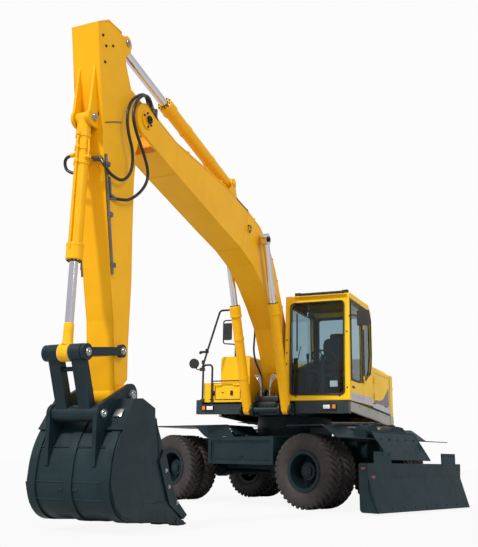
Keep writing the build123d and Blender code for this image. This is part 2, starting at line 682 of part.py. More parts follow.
with BuildPart() as side_skirts:
    for s, front in ((1, 1040.0), (-1, 290.0)):
        with BuildSketch(side_view(s * (body_half - 28))):
            outline([(counterweight_front + seat_gap, 1285), (front, 1345 + front * 0.04), (front, deck_top - 2),
                     (counterweight_front + seat_gap, 1445)])
        extrude(amount=24, both=True)
side_skirts.part.label = "side_skirts"
export_step(side_skirts.part, "parts/side_skirts.step")

# ---------------------------------------------------------------- cab
cab_side = [(cab_rear, cab_bottom), (cab_front, cab_bottom), (cab_front, 2100), (cab_front - 50, cab_top - 10),
            (cab_front - 130, cab_top), (0, cab_top), (cab_rear + 20, cab_top - 110), (cab_rear, 2300)]
inner_side = [(cab_rear + cab_wall, cab_bottom + 30), (cab_front - cab_wall, cab_bottom + 30), (cab_front - cab_wall, 2100),
              (cab_front - 50 - cab_wall, cab_top - 60), (10, cab_top - 50), (cab_rear + 20 + cab_wall, cab_top - 150),
              (cab_rear + cab_wall, 2300)]
front_window = (352.0, 1190.0, 1625.0, 3020.0)
rear_window = (370.0, 1150.0, 2280.0, 2980.0)
quarter = [(door_rear - 55, 1895), (door_rear - 55, 3020), (cab_rear + 60, 2960), (cab_rear + 40, 2330),
           (cab_rear + 130, 2030)]
right_window = [(cab_rear + 110, 2260), (cab_front - 130, 1960), (cab_front - 165, 3000), (cab_rear + 130, 2990)]

cab_hinge = Plane(origin=(door_rear - 4, cab_outer + hinge_radius, 0), x_dir=(1, 0, 0), z_dir=(0, 0, 1))
cab_hinges = (1900.0, 2750.0)
with BuildPart() as cab_shell:
    with BuildSketch(side_view(cab_outer)):
        outline(cab_side, 12)
    extrude(amount=cab_outer - cab_inner)
    with BuildSketch(side_view(cab_outer - cab_wall)):
        outline(inner_side, 8)
    extrude(amount=cab_outer - cab_inner - 2 * cab_wall, mode=Mode.SUBTRACT)
    with BuildSketch(Plane.YZ.offset(cab_front - 200)):
        outline([(front_window[0], front_window[2]), (front_window[1], front_window[2]),
                 (front_window[1], front_window[3]), (front_window[0], front_window[3])], 60)
    extrude(amount=400, mode=Mode.SUBTRACT)
    with BuildSketch(Plane.YZ.offset(cab_rear - 100)):
        outline([(rear_window[0], rear_window[2]), (rear_window[1], rear_window[2]),
                 (rear_window[1], rear_window[3]), (rear_window[0], rear_window[3])], 60)
    extrude(amount=200, mode=Mode.SUBTRACT)
    block(door_rear, door_front, cab_outer - 100, cab_outer + 20, door_sill, door_head, mode=Mode.SUBTRACT)
    with BuildSketch(side_view(cab_outer + 10)):
        outline(quarter, 30)
    extrude(amount=100, mode=Mode.SUBTRACT)
    with BuildSketch(side_view(cab_inner + 80)):
        outline(right_window, 60)
    extrude(amount=100, mode=Mode.SUBTRACT)
    block(250, 850, 450, 1080, cab_top - 100, cab_top + 50, mode=Mode.SUBTRACT)
    hinge_fixed(cab_hinge, cab_hinges, -40)
cab_shell.part.label = "cab_shell"
export_step(cab_shell.part, "parts/cab_shell.step")

glass = 8.0
with BuildPart() as windscreen:
    with BuildSketch(side_view(front_window[1])):
        outline([(cab_front - 30, front_window[2]), (cab_front - 30, 2100), (cab_front - 76, front_window[3]),
                 (cab_front - 76 - glass, front_window[3]), (cab_front - 30 - glass, 2100), (cab_front - 30 - glass, front_window[2])])
    extrude(amount=front_window[1] - front_window[0])
    with BuildSketch(Plane.YZ.offset(cab_front - 200)):
        outline([(front_window[0], front_window[2]), (front_window[1], front_window[2]),
                 (front_window[1], front_window[3]), (front_window[0], front_window[3])], 60)
        offset(amount=-seat_gap, mode=Mode.REPLACE)
    extrude(amount=400, mode=Mode.INTERSECT)

with BuildPart() as cab_windows:
    add(windscreen.part)
    with BuildSketch(Plane.YZ.offset(cab_rear + 20)):
        outline([(rear_window[0], rear_window[2]), (rear_window[1], rear_window[2]),
                 (rear_window[1], rear_window[3]), (rear_window[0], rear_window[3])], 60)
        offset(amount=-seat_gap, mode=Mode.REPLACE)
    extrude(amount=glass)
    with BuildSketch(side_view(cab_outer - 18)):
        outline([(x, z) for x, z in quarter], 30)
        offset(amount=-seat_gap, mode=Mode.REPLACE)
    extrude(amount=glass)
    with BuildSketch(side_view(cab_inner + 18 + glass)):
        outline(right_window, 60)
        offset(amount=-seat_gap, mode=Mode.REPLACE)
    extrude(amount=glass)
    block(250.3, 849.7, 450.3, 1079.7, cab_top - 40, cab_top - 30)
cab_windows.part.label = "cab_windows"
export_step(cab_windows.part, "parts/cab_windows.step")

door_gap = 6.0
door_glass = (door_rear + 62, door_front - 58, 1850.0, 3015.0)
with BuildPart() as cab_door:
    block(door_rear + door_gap, door_front - door_gap, cab_outer - 40, cab_outer, door_sill + door_gap, door_head - door_gap)
    with BuildSketch(side_view(cab_outer + 10)):
        outline([(door_glass[0], door_glass[2]), (door_glass[1], door_glass[2]), (door_glass[1], door_glass[3]),
                 (door_glass[0], door_glass[3])], 50)
    extrude(amount=100, mode=Mode.SUBTRACT)
    hinge_moving(cab_hinge, cab_hinges, 40)
cab_door.part.label = "cab_door"
export_step(cab_door.part, "parts/cab_door.step")

with BuildPart() as door_window:
    with BuildSketch(side_view(cab_outer - 14)):
        outline([(door_glass[0], door_glass[2]), (door_glass[1], door_glass[2]), (door_glass[1], door_glass[3]),
                 (door_glass[0], door_glass[3])], 50)
        offset(amount=-seat_gap, mode=Mode.REPLACE)
    extrude(amount=glass)
door_window.part.label = "door_window"
export_step(door_window.part, "parts/door_window.step")

seat_y = 767.0
cab_floor = cab_bottom + 30
with BuildPart() as seat:
    block(120, 560, seat_y - 240, seat_y + 240, cab_floor + 330, cab_floor + 450)
    block(60, 190, seat_y - 230, seat_y + 230, cab_floor + 430, cab_floor + 1130)
    block(200, 500, seat_y - 160, seat_y + 160, cab_floor, cab_floor + 330)
seat.part.label = "seat"
export_step(seat.part, "parts/seat.step")

with BuildPart() as controls:
    for s in (1, -1):
        block(180, 620, seat_y + s * 260, seat_y + s * 400, cab_floor, cab_floor + 560)
        with Locations((590, seat_y + s * 330, cab_floor + 630)):
            Cylinder(22, 180)
    with Locations(Location((830, seat_y, cab_floor + 660), (0, -25, 0))):
        Cylinder(190, 30)
    with Locations(Location((830, seat_y, cab_floor + 660), (0, -25, 0))):
        Cylinder(165, 60, mode=Mode.SUBTRACT)
    with Locations(Location((830, seat_y, cab_floor + 660), (0, -25, 0))):
        Box(350, 40, 20)
    block(830, 890, seat_y - 40, seat_y + 40, cab_floor, cab_floor + 655)
controls.part.label = "controls"
export_step(controls.part, "parts/controls.step")

# ---------------------------------------------------------------- rails, mirrors, lamps
tube = 16.0


def bent_tube(points, radius, bend):
    """A round tube through these points, with tangent bends."""
    with BuildLine() as route:
        FilletPolyline(*points, radius=bend)
    with BuildSketch(Plane(origin=route.line @ 0, z_dir=route.line % 0)) as section:
        Circle(radius)
    sweep(section.sketch, path=route.line)


rail_x = 1132.0
rail_y = (-1136.0, -975.0)  # the two legs
rail_top = 2122.0
with BuildPart() as rails:
    bent_tube([(rail_x, rail_y[0], skirt_top), (rail_x, rail_y[0], rail_top), (rail_x, rail_y[1], rail_top),
               (rail_x, rail_y[1], 1500)], tube, 55)
    bent_tube([(rail_x, rail_y[0] - 30, 2040), (rail_x, -1063, 2372), (rail_x, -858, 2990), (rail_x, -625, 2990)], tube, 60)
    block(rail_x - 24, rail_x + 24, rail_y[0] - 55, rail_y[0] + 20, 2030, 2080)
    bent_tube([(rail_x, rail_y[1], 1862), (rail_x, -500, 1862), (rail_x, -500, toolbox_top + seat_gap)], 10, 14)
rails.part.label = "rails"
export_step(rails.part, "parts/rails.step")

post_x = 600.0
with BuildPart() as mirrors:
    with Locations(Location((rail_x + 10, -1296, 2150), (0, 90, 0))):
        Cylinder(75, 40)
    bent_tube([(rail_x, -1296, 2150), (rail_x, -1250, 2055), (rail_x, rail_y[0] - 55 - seat_gap, 2055)], 9, 25)
    with Locations((post_x, -800, 2283 + seat_gap + 123)):
        Cylinder(32, 246)
    bent_tube([(post_x, -800, 2515), (post_x, -1046, 2540), (post_x, -1046, 2926), (post_x, -865, 2926)], 11, 40)
    block(post_x - 20, post_x + 20, -1044, -902, 2600, 2877)
    bent_tube([(1135, cab_outer + seat_gap, 2780), (1145, 1350, 2790), (1148, 1440, 2740)], 12, 60)
    block(1130, 1168, 1400, 1580, 2625, 2845)
mirrors.part.label = "mirrors"
export_step(mirrors.part, "parts/mirrors.step")

with BuildPart() as lamps:
    for y in (-985.0, 920.0):
        block(cab_front - 5, cab_front + 14, y - 55, y + 55, 1410, 1475)
    for y in (-1090.0, 1030.0):
        block(cab_front - 5, cab_front + 14, y - 30, y + 30, 1410, 1475)
    for y in (420.0, 1180.0):
        block(cab_front - 200, cab_front - 140, y - 45, y + 45, cab_top + seat_gap, cab_top + 60)
lamps.part.label = "lamps"
export_step(lamps.part, "parts/lamps.step")

# ---------------------------------------------------------------- boom
boom_under = [(912, 2000), (1270, 2612), (1611, 2925), (1950, 3190), (2291, 3386), (2697, 3520), (3296, 3643),
              (4604, 3933), (5300, 4110)]
boom_over = [(5300, 4490), (5130, 4420), (4600, 4300), (3255, 4230), (2486, 4110), (2000, 3990), (1640, 3760),
             (1415, 3506), (1232, 3191), (983, 2771)]
nose_radius = 190.0
foot_radius = 150.0
slot_radius = 380.0
bend_boss = (2450.0, 3880.0)
with BuildPart() as boom:
    with BuildSketch(side_view()):
        outline([(600, 1580), *boom_under, *boom_over, (400, 1800)])
        disc(boom_foot, foot_radius)
        disc(arm_pivot, nose_radius)
    extrude(amount=boom_half, both=True)
    with BuildSketch(side_view()):
        disc(arm_pivot, slot_radius)
    extrude(amount=arm_half + moving_gap, both=True, mode=Mode.SUBTRACT)
    across(boom_foot[0], boom_foot[1], pivot_pin + running_fit, -400, 400, mode=Mode.SUBTRACT)
    across(arm_pivot[0], arm_pivot[1], pivot_pin, -boom_half - 40, boom_half + 40)
    plates(side_view(), 85, 110, lambda: (
        outline([(2620, 4120), (2740, 4400), (2860, 4400), (3080, 4180)]),
        disc(arm_cylinder_foot, 75)))
    across(arm_cylinder_foot[0], arm_cylinder_foot[1], link_pin_radius, -125, 125)
    across(boom_cylinder_eye[0], boom_cylinder_eye[1], 75, -boom_half - 25, boom_half + 25)
    across(*bend_boss, 70, -boom_half - 14, boom_half + 14)
    plates(side_view(), boom_half - 1, boom_half + 16, lambda: disc(arm_pivot, 100))
    for x in (4300.0, 3800.0, 3350.0):
        share = (x - 3252) / (4600 - 3252)
        under_pipe = 4264 + share * (4332 - 4264) - 13 - 3 * seat_gap
        for y in (1, -1):
            block(x - 12, x + 12, y * 115, y * 190, under_pipe - 30, under_pipe)
boom.part.label = "boom"
export_step(boom.part, "parts/boom.step")

with BuildPart() as boom_pipes:
    for y in (-170.0, -135.0, 135.0, 170.0):
        bent_tube([(5040, y, 4435), (4600, y, 4332), (3252, y, 4264), (2478, y, 4144), (1987, y, 4024), (1612, y, 3783),
                   (1385, y, 3526), (1203, y, 3205), (957, y, 2786)], 13, 60)
boom_pipes.part.label = "boom_pipes"
export_step(boom_pipes.part, "parts/boom_pipes.step")

boom_cylinder_ys = (boom_cylinder_y, -boom_cylinder_y)
with BuildPart() as boom_barrels:
    barrel(boom_cylinder_foot, boom_cylinder_eye, 1590, 72, 42, boom_cylinder_ys, pivot_pin, 48)
boom_barrels.part.label = "boom_barrels"
export_step(boom_barrels.part, "parts/boom_barrels.step")

with BuildPart() as boom_rods:
    rod(boom_cylinder_foot, boom_cylinder_eye, 860, 48, 44, boom_cylinder_ys, 88)
boom_rods.part.label = "boom_rods"
export_step(boom_rods.part, "parts/boom_rods.step")

# ---------------------------------------------------------------- arm
arm_front = [(5590, 1250), (5655, 1711), (5692, 2005), (5787, 2393), (5890, 2882), (5994, 3375), (6093, 3982),
             (6171, 4386), (6278, 4991)]
arm_rear = [(6100, 5100), (5860, 5095), (5743, 4808), (5571, 4490), (5446, 3796), (5464, 3561), (5443, 3010),
            (5412, 2475), (5414, 1743), (5395, 1440)]
with BuildPart() as arm:
    with BuildSketch(side_view()):
        outline([*arm_front, *arm_rear])
        outline([(5300, 4480), (5640, 4560), (5560, 3780), (5440, 3900)])
        disc(arm_pivot, 165)
        disc(bucket_pivot, 115)
    extrude(amount=arm_half, both=True)
    across(bucket_pivot[0], bucket_pivot[1], 100, -236, 236)
    across(rocker_pivot[0], rocker_pivot[1], 62, -190, 190)
    plates(side_view(), 90, 115, lambda: (
        outline([(5580, 5010), (5620, 5165), (5860, 5105), (5760, 4820)]), disc(arm_cylinder_eye, 80)))
    plates(side_view(), 80, 108, lambda: (
        outline([(6050, 3900), (6160, 3900), (6240, 4030), (6200, 4560), (6110, 4560)]), disc(bucket_cylinder_foot, 90)))
    across(arm_pivot[0], arm_pivot[1], pivot_pin + running_fit, -400, 400, mode=Mode.SUBTRACT)
    across(bucket_pivot[0], bucket_pivot[1], pivot_pin + running_fit, -400, 400, mode=Mode.SUBTRACT)
    across(rocker_pivot[0], rocker_pivot[1], link_pin_radius, -240, 240)
    across(bucket_cylinder_foot[0], bucket_cylinder_foot[1], link_pin_radius, -120, 120)
arm.part.label = "arm"
export_step(arm.part, "parts/arm.step")

arm_pipe = [(6025.0, 3640.0), (5903.0, 3000.0), (5787.0, 2450.0)]
arm_pipe_radius = 14.0
with BuildPart() as arm_pipes:
    for s in (1, -1):
        y = s * (arm_half + arm_pipe_radius + 6)
        bent_tube([(x, y, z) for x, z in arm_pipe], arm_pipe_radius, 400)
        for t in (0.08, 0.5, 0.92):
            x = arm_pipe[0][0] + t * (arm_pipe[2][0] - arm_pipe[0][0])
            z = arm_pipe[0][1] + t * (arm_pipe[2][1] - arm_pipe[0][1])
            sign = s * (arm_half + seat_gap)
            block(x - 45, x + 8, sign, s * (arm_half + 2 * arm_pipe_radius + 10), z - 22, z + 22)
arm_pipes.part.label = "arm_pipes"
export_step(arm_pipes.part, "parts/arm_pipes.step")

with BuildPart() as arm_barrel:
    barrel(arm_cylinder_foot, arm_cylinder_eye, 1860, 82, 70, (0.0,), link_pin_radius, 52)
arm_barrel.part.label = "arm_barrel"
export_step(arm_barrel.part, "parts/arm_barrel.step")

with BuildPart() as arm_rod:
    rod(arm_cylinder_foot, arm_cylinder_eye, 1000, 52, 70, (0.0,), 76)
arm_rod.part.label = "arm_rod"
export_step(arm_rod.part, "parts/arm_rod.step")

# ---------------------------------------------------------------- bucket and its linkage
bucket_wall = 24.0
mouth_top = (5325.0, 1080.0)
lip = (4680.0, 30.0)


def bucket_shape(inset, top, low):
    """The bucket in side view, this far inside its outer face, from the mouth's top to its lip."""
    crown = (5600, 1165 - inset)
    back = (6040 - inset, 520)
    heel = (5700, 110 + inset)
    with BuildLine() as edge:
        Line(top, crown)
        ThreePointArc(crown, (5905 - inset * 0.8, 920 - inset * 0.4), back)
        ThreePointArc(back, (5975 - inset * 0.8, 245 + inset * 0.5), heel)
        Polyline(heel, low, top)
    make_face(edge.edges())


with BuildPart() as bucket:
    slice_through(side_view(), bucket_half, lambda: bucket_shape(0.0, mouth_top, lip))
    plates(side_view(), bucket_half - bucket_wall, bucket_half, lambda: outline(
        [(5325, 1070), (5332, 1160), (5577, 1240), (5716, 1228), (5940, 930), (5700, 900)]))
    for y in (-bucket_half + 60, bucket_half - 60, 0):
        slice_through(side_view(y), 45, lambda: bucket_shape(-16.0, mouth_top, lip))
    slice_through(side_view(), bucket_half - bucket_wall, lambda: bucket_shape(
        bucket_wall, (mouth_top[0] - 40, mouth_top[1] - bucket_wall), (lip[0] - 50, lip[1] + 34)), mode=Mode.SUBTRACT)
    plates(side_view(), 242, 284, lambda: (
        outline([(5395, 1190), (5560, 1370), (6030, 1150), (6064, 1050), (6050, 600), (5960, 600), (5750, 1020), (5560, 1130)]),
        disc(bucket_pivot, 110), disc(bucket_link_pin, 88)))
    across(bucket_pivot[0], bucket_pivot[1], pivot_pin, -300, 300)
    across(bucket_link_pin[0], bucket_link_pin[1], link_pin_radius, -300, 300)
    with BuildSketch(side_view()):
        outline([(4660, 22), (4690, 52), (4990, 84), (5000, 40)])
    extrude(amount=bucket_half, both=True)
    plates(side_view(), bucket_half - 4, bucket_half + 22, lambda: outline(
        [(5165, 760), (5106, 701), (4927, 317), (4630, 110), (4700, 70), (5010, 230), (5240, 650)]))
bucket.part.label = "bucket"
export_step(bucket.part, "parts/bucket.step")

tooth_count = 5
with BuildPart() as bucket_teeth:
    for i in range(tooth_count):
        y = (i - (tooth_count - 1) / 2) * (2 * bucket_half - 90) / (tooth_count - 1)
        with BuildSketch(side_view(y)):
            outline([(4590, 14), (4600, 28), (4659.7, 46), (4659.7, 12)])
        extrude(amount=40, both=True)
bucket_teeth.part.label = "bucket_teeth"
export_step(bucket_teeth.part, "parts/bucket_teeth.step")

with BuildPart() as guide_links:
    plates(side_view(), 196, 236, lambda: (bar(rocker_pivot, link_pin, 42), disc(rocker_pivot, 66), disc(link_pin, 78)))
    across(rocker_pivot[0], rocker_pivot[1], link_pin_radius + running_fit, -400, 400, mode=Mode.SUBTRACT)
guide_links.part.label = "guide_links"
export_step(guide_links.part, "parts/guide_links.step")

with BuildPart() as h_link:
    plates(side_view(), 68, 190, lambda: (bar(link_pin, bucket_link_pin, 48), disc(link_pin, 80)))
    slice_through(side_view(), 120, lambda: disc((link_pin[0] - 57, link_pin[1] - 148), 22))
    across(bucket_link_pin[0], bucket_link_pin[1], 76, -236, 236)
    across(bucket_link_pin[0], bucket_link_pin[1], link_pin_radius + running_fit, -400, 400, mode=Mode.SUBTRACT)
h_link.part.label = "h_link"
export_step(h_link.part, "parts/h_link.step")

with BuildPart() as bucket_barrel:
    barrel(bucket_cylinder_foot, link_pin, 1470, 70, 68, (0.0,), link_pin_radius, 42)
bucket_barrel.part.label = "bucket_barrel"
export_step(bucket_barrel.part, "parts/bucket_barrel.step")

with BuildPart() as bucket_rod:
    rod(bucket_cylinder_foot, link_pin, 750, 42, 60, (0.0,), 84)
bucket_rod.part.label = "bucket_rod"
export_step(bucket_rod.part, "parts/bucket_rod.step")
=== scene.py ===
"""Wheeled excavator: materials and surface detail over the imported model. Metres, in the model's own frame."""
from math import atan2, cos, pi, radians, sin
import bpy
import bmesh
from mathutils import Matrix, Vector


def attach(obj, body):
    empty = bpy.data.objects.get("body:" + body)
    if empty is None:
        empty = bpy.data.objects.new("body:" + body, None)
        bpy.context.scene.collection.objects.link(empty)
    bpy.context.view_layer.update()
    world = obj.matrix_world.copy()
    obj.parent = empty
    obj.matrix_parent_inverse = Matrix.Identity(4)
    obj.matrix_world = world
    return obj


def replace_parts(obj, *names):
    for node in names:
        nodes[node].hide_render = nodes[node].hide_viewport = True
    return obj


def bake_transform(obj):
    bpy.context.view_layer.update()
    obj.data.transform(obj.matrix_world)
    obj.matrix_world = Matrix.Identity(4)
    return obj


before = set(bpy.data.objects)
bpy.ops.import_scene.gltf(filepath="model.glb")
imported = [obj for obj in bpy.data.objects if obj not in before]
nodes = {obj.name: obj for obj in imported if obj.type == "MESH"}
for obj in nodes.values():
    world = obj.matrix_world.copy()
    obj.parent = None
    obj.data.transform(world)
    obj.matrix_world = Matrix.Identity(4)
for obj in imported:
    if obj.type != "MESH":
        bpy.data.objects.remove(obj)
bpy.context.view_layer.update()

# ---------------------------------------------------------------- frames of reference
HEADING = radians(70.7)
CX = Vector((cos(HEADING), sin(HEADING), 0))
CY = Vector((-sin(HEADING), cos(HEADING), 0))
UP = Vector((0, 0, 1))
CHASSIS = Matrix.Rotation(HEADING, 4, "Z")
WORLD = Matrix.Identity(4)


def span(side, near, far):
    """Two distances from the middle plane, on one side, as a low and a high value."""
    return tuple(sorted((side * near, side * far)))


def ch(x, y, z):
    """A point given along the chassis, to its left and up."""
    return CX * x + CY * y + UP * z


# ---------------------------------------------------------------- materials
def lin(r, g, b):
    return tuple((c / 255 / 12.92 if c <= 10 else ((c / 255 + 0.055) / 1.055) ** 2.4) for c in (r, g,
        b)) + (1,)


def finish(name, colour, rough=0.4, metal=0.0, vary=0.12, dirt=None, dirt_share=0.0, scale=3.0, bump=0.02,
    grain=180.0,
           coat=0.0, alt=None, spec=0.5):
    """A surface with uneven colour, patches of dirt, uneven gloss and a fine grain."""
    m = bpy.data.materials.new(name)
    m.use_nodes = True
    t = m.node_tree
    t.nodes.clear()
    out = t.nodes.new("ShaderNodeOutputMaterial")
    s = t.nodes.new("ShaderNodeBsdfPrincipled")
    t.links.new(s.outputs[0], out.inputs[0])
    s.inputs["Metallic"].default_value = metal
    s.inputs["Coat Weight"].default_value = coat
    s.inputs["Coat Roughness"].default_value = 0.12
    s.inputs["Specular IOR Level"].default_value = spec
    c = t.nodes.new("ShaderNodeTexCoord")

    def noise(size, detail=4.0, rough_=0.55):
        n = t.nodes.new("ShaderNodeTexNoise")
        n.inputs["Scale"].default_value = size
        n.inputs["Detail"].default_value = detail
        n.inputs["Roughness"].default_value = rough_
        t.links.new(c.outputs["Object"], n.inputs["Vector"])
        return n.outputs["Fac"]

    def ramp(value, a, b, low=0.0, high=1.0):
        r = t.nodes.new("ShaderNodeMapRange")
        r.inputs["From Min"].default_value = a
        r.inputs["From Max"].default_value = b
        r.inputs["To Min"].default_value = low
        r.inputs["To Max"].default_value = high
        t.links.new(value, r.inputs["Value"])
        return r.outputs["Result"]

    def mix(fac, a, b):
        x = t.nodes.new("ShaderNodeMix")
        x.data_type = "RGBA"
        for key, v in ((0, fac), (6, a), (7, b)):
            if hasattr(v, "links"):
                t.links.new(v, x.inputs[key])
            else:
                x.inputs[key].default_value = v
        return x.outputs[2]

    dark = tuple(k * (1 - vary) for k in colour[:3]) + (1,)
    light = tuple(min(1, k * (1 + vary * 0.5)) for k in colour[:3]) + (1,)
    base = mix(ramp(noise(scale), 0.35, 0.65), dark, light)
    if alt:
        base = mix(ramp(noise(scale * 6, 8.0), 0.55, 0.62), base, alt)
    if dirt:
        base = mix(ramp(noise(scale * 2.3, 9.0, 0.68), 0.72 - dirt_share * 0.4, 0.9 - dirt_share * 0.3, 0.0,
            0.85), base, dirt)
    t.links.new(base, s.inputs["Base Color"])
    t.links.new(ramp(noise(scale * 4, 6.0), 0.3, 0.7, rough * 0.8, min(1, rough * 1.25)),
        s.inputs["Roughness"])
    if bump:
        b = t.nodes.new("ShaderNodeBump")
        b.inputs["Strength"].default_value = bump * 5
        b.inputs["Distance"].default_value = 0.002
        t.links.new(noise(grain, 3.0), b.inputs["Height"])
        t.links.new(b.outputs[0], s.inputs["Normal"])
    return m


DUST = (0.19, 0.15, 0.11, 1)
M = {
    "yellow": finish("paint_yellow", (0.88, 0.43, 0.004, 1), 0.40, vary=0.05, dirt=(0.70, 0.33, 0.01, 1),
    dirt_share=0.03,
                     coat=0.04, bump=0.006, grain=90, spec=0.16),
    "lemon": finish("paint_body", (0.90, 0.53, 0.012, 1), 0.40, vary=0.05, dirt=(0.72, 0.40, 0.02, 1),
    dirt_share=0.03,
                    coat=0.04, bump=0.006, grain=90, spec=0.16),
    "interior": finish("cab_plastic", (0.045, 0.060, 0.066, 1), 0.6, vary=0.12, bump=0.03, grain=400,
    spec=0.3),
    "dark": finish("paint_dark", (0.0080, 0.0210, 0.0265, 1), 0.42, vary=0.22, dirt=(0.020, 0.026, 0.025, 1),
    dirt_share=0.10,
                   bump=0.02, spec=0.22),
    "grey": finish("paint_grey", (0.33, 0.31, 0.25, 1), 0.4, vary=0.1, dirt=(0.22, 0.2, 0.16, 1),
    dirt_share=0.1),
    "mauve": finish("paint_mauve", (0.16, 0.14, 0.17, 1), 0.42, vary=0.1, bump=0.01),
    "silver": finish("stripe_silver", (0.50, 0.47, 0.52, 1), 0.32, metal=0.3, vary=0.08),
    "slate": finish("skirt_slate", (0.013, 0.022, 0.027, 1), 0.45, vary=0.2, bump=0.03),
    "black": finish("black_plastic", (0.012, 0.012, 0.013, 1), 0.5, vary=0.3, bump=0.04, grain=320),
    "rubber": finish("rubber_black", (0.010, 0.010, 0.011, 1), 0.62, vary=0.25, bump=0.05, grain=260),
    "hose": finish("hose_black", (0.008, 0.008, 0.009, 1), 0.42, vary=0.25, bump=0.05, grain=420),
    "tyre": finish("tyre_rubber", (0.030, 0.024, 0.023, 1), 0.72, vary=0.3, dirt=(0.060, 0.047, 0.042, 1),
    dirt_share=0.25,
                   bump=0.06, grain=140, scale=5),
    "steel": finish("worn_steel", (0.16, 0.15, 0.145, 1), 0.38, metal=0.85, vary=0.3,
    dirt=(0.09, 0.06, 0.04, 1), dirt_share=0.2),
    "bright": finish("zinc_steel", (0.46, 0.46, 0.47, 1), 0.3, metal=0.9, vary=0.15),
    "chrome": finish("chrome_rod", (0.72, 0.70, 0.74, 1), 0.12, metal=1.0, vary=0.04, bump=0.0),
    "seat": finish("seat_cloth", (0.075, 0.078, 0.088, 1), 0.9, vary=0.25, bump=0.16, grain=700),
    "engine": finish("cast_engine", (0.045, 0.046, 0.05, 1), 0.6, vary=0.3, bump=0.08),
    "lens": finish("lens_white", (0.86, 0.86, 0.84, 1), 0.12, vary=0.05, bump=0.05, grain=60, coat=0.6),
    "amber": finish("lens_amber", (0.80, 0.23, 0.035, 1), 0.2, vary=0.08, bump=0.04, grain=70, coat=0.6),
    "red": finish("lens_red", (0.20, 0.018, 0.014, 1), 0.25, vary=0.1, bump=0.04, grain=70, coat=0.5),
    "mirror": finish("mirror_glass", (0.6, 0.64, 0.68, 1), 0.06, metal=1.0, vary=0.03, bump=0.0),
}


def glass(name, colour, rough):
    m = bpy.data.materials.new(name)
    m.use_nodes = True
    s = m.node_tree.nodes["Principled BSDF"]
    s.inputs["Base Color"].default_value = colour
    s.inputs["Transmission Weight"].default_value = 1.0
    s.inputs["IOR"].default_value = 1.35
    n = m.node_tree.nodes.new("ShaderNodeTexNoise")
    n.inputs["Scale"].default_value = 2.5
    r = m.node_tree.nodes.new("ShaderNodeMapRange")
    r.inputs["To Min"].default_value = rough * 0.5
    r.inputs["To Max"].default_value = rough * 1.8
    m.node_tree.links.new(n.outputs["Fac"], r.inputs["Value"])
    m.node_tree.links.new(r.outputs[0], s.inputs["Roughness"])
    return m


M["glass"] = glass("window_glass", (0.60, 0.74, 0.78, 1), 0.03)

node_finish = {"cab_windows": "glass", "door_window": "glass", "side_skirts": "grey", "step_skirts": "slate",
               "slew_ring": "dark", "drive_line": "dark", "steering_rod": "steel", "bucket_teeth": "dark",
               "controls": "black",
               "rails": "black", "mirrors": "black", "lamps": "black", "seat": "seat", "engine": "engine",
               "arm_pipes": "steel",
               "boom_pipes": "yellow", "deck": "dark"}
for rod in ("boom_rods", "arm_rod", "bucket_rod", "blade_rods"):
    node_finish[rod] = "chrome"
for name in nodes:
    if name.startswith("tyres"):
        node_finish[name] = "tyre"
    elif name.startswith(("rims", "knuckle")) or name in (
            "chassis_frame", "side_boxes", "fenders", "axles", "blade_mount", "dozer_blade", "blade_barrels",
            "bucket",
            "guide_links", "h_link"):
        node_finish[name] = "dark"
for name, obj in nodes.items():
    front = name.startswith(("boom", "arm", "bucket"))
    kind = M[node_finish.get(name, "yellow" if front else "lemon")]
    for s in obj.material_slots:
        s.material = kind


def piece(name, bm, kind, body, smooth=30, blend=None):
    """A bmesh becomes a piece of this finish on this body; edges sharper than the angle stay sharp."""
    mesh = bpy.data.meshes.new(name)
    bm.normal_update()
    bm.to_mesh(mesh)
    bm.free()
    obj = bpy.data.objects.new(name, mesh)
    bpy.context.collection.objects.link(obj)
    mesh.materials.append(M[kind])
    if smooth:
        for p in mesh.polygons:
            p.use_smooth = True
        mesh.set_sharp_from_angle(angle=radians(smooth))
    if blend:
        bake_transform(obj)
    else:
        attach(obj, body)
    return obj


def add_box(bm, x, y, z, bevel=0.0, frame_=WORLD, segments=2):
    """A box between the limits (low, high) on each axis of the frame, its edges rounded."""
    made = bmesh.ops.create_cube(bm, size=1.0)["verts"]
    size = Matrix.Diagonal((x[1] - x[0], y[1] - y[0], z[1] - z[0], 1))
    mid = Matrix.Translation(((x[0] + x[1]) / 2, (y[0] + y[1]) / 2, (z[0] + z[1]) / 2))
    bmesh.ops.transform(bm, matrix=frame_ @ mid @ size, verts=made)
    if bevel:
        edges = list({e for v in made for e in v.link_edges})
        bmesh.ops.bevel(bm, geom=edges, offset=bevel, segments=segments, affect="EDGES", profile=0.5)


def axis_frame(at, axis):
    """A frame at a point with its z along an axis."""
    return Matrix.Translation(at) @ Vector(axis).normalized().to_track_quat("Z", "Y").to_matrix().to_4x4()


def add_turned(bm, profile, at, axis, sides=24):
    """Turned about an axis through a point: (distance along, radius) pairs."""
    place = axis_frame(at, axis)
    rings = []
    for along, radius in profile:
        if radius < 1e-6:
            rings.append([bm.verts.new(place @ Vector((0, 0, along)))])
        else:
            rings.append([bm.verts.new(place @ Vector((radius * cos(2 * pi * i / sides),
                radius * sin(2 * pi * i / sides),
                                                       along))) for i in range(sides)])
    for a, b in zip(rings, rings[1:]):
        for i in range(sides):
            j = (i + 1) % sides
            quad = [a[i % len(a)], a[j % len(a)], b[j % len(b)], b[i % len(b)]]
            if len({*quad}) > 2:
                try:
                    bm.faces.new(list(dict.fromkeys(quad)))
                except ValueError:
                    pass


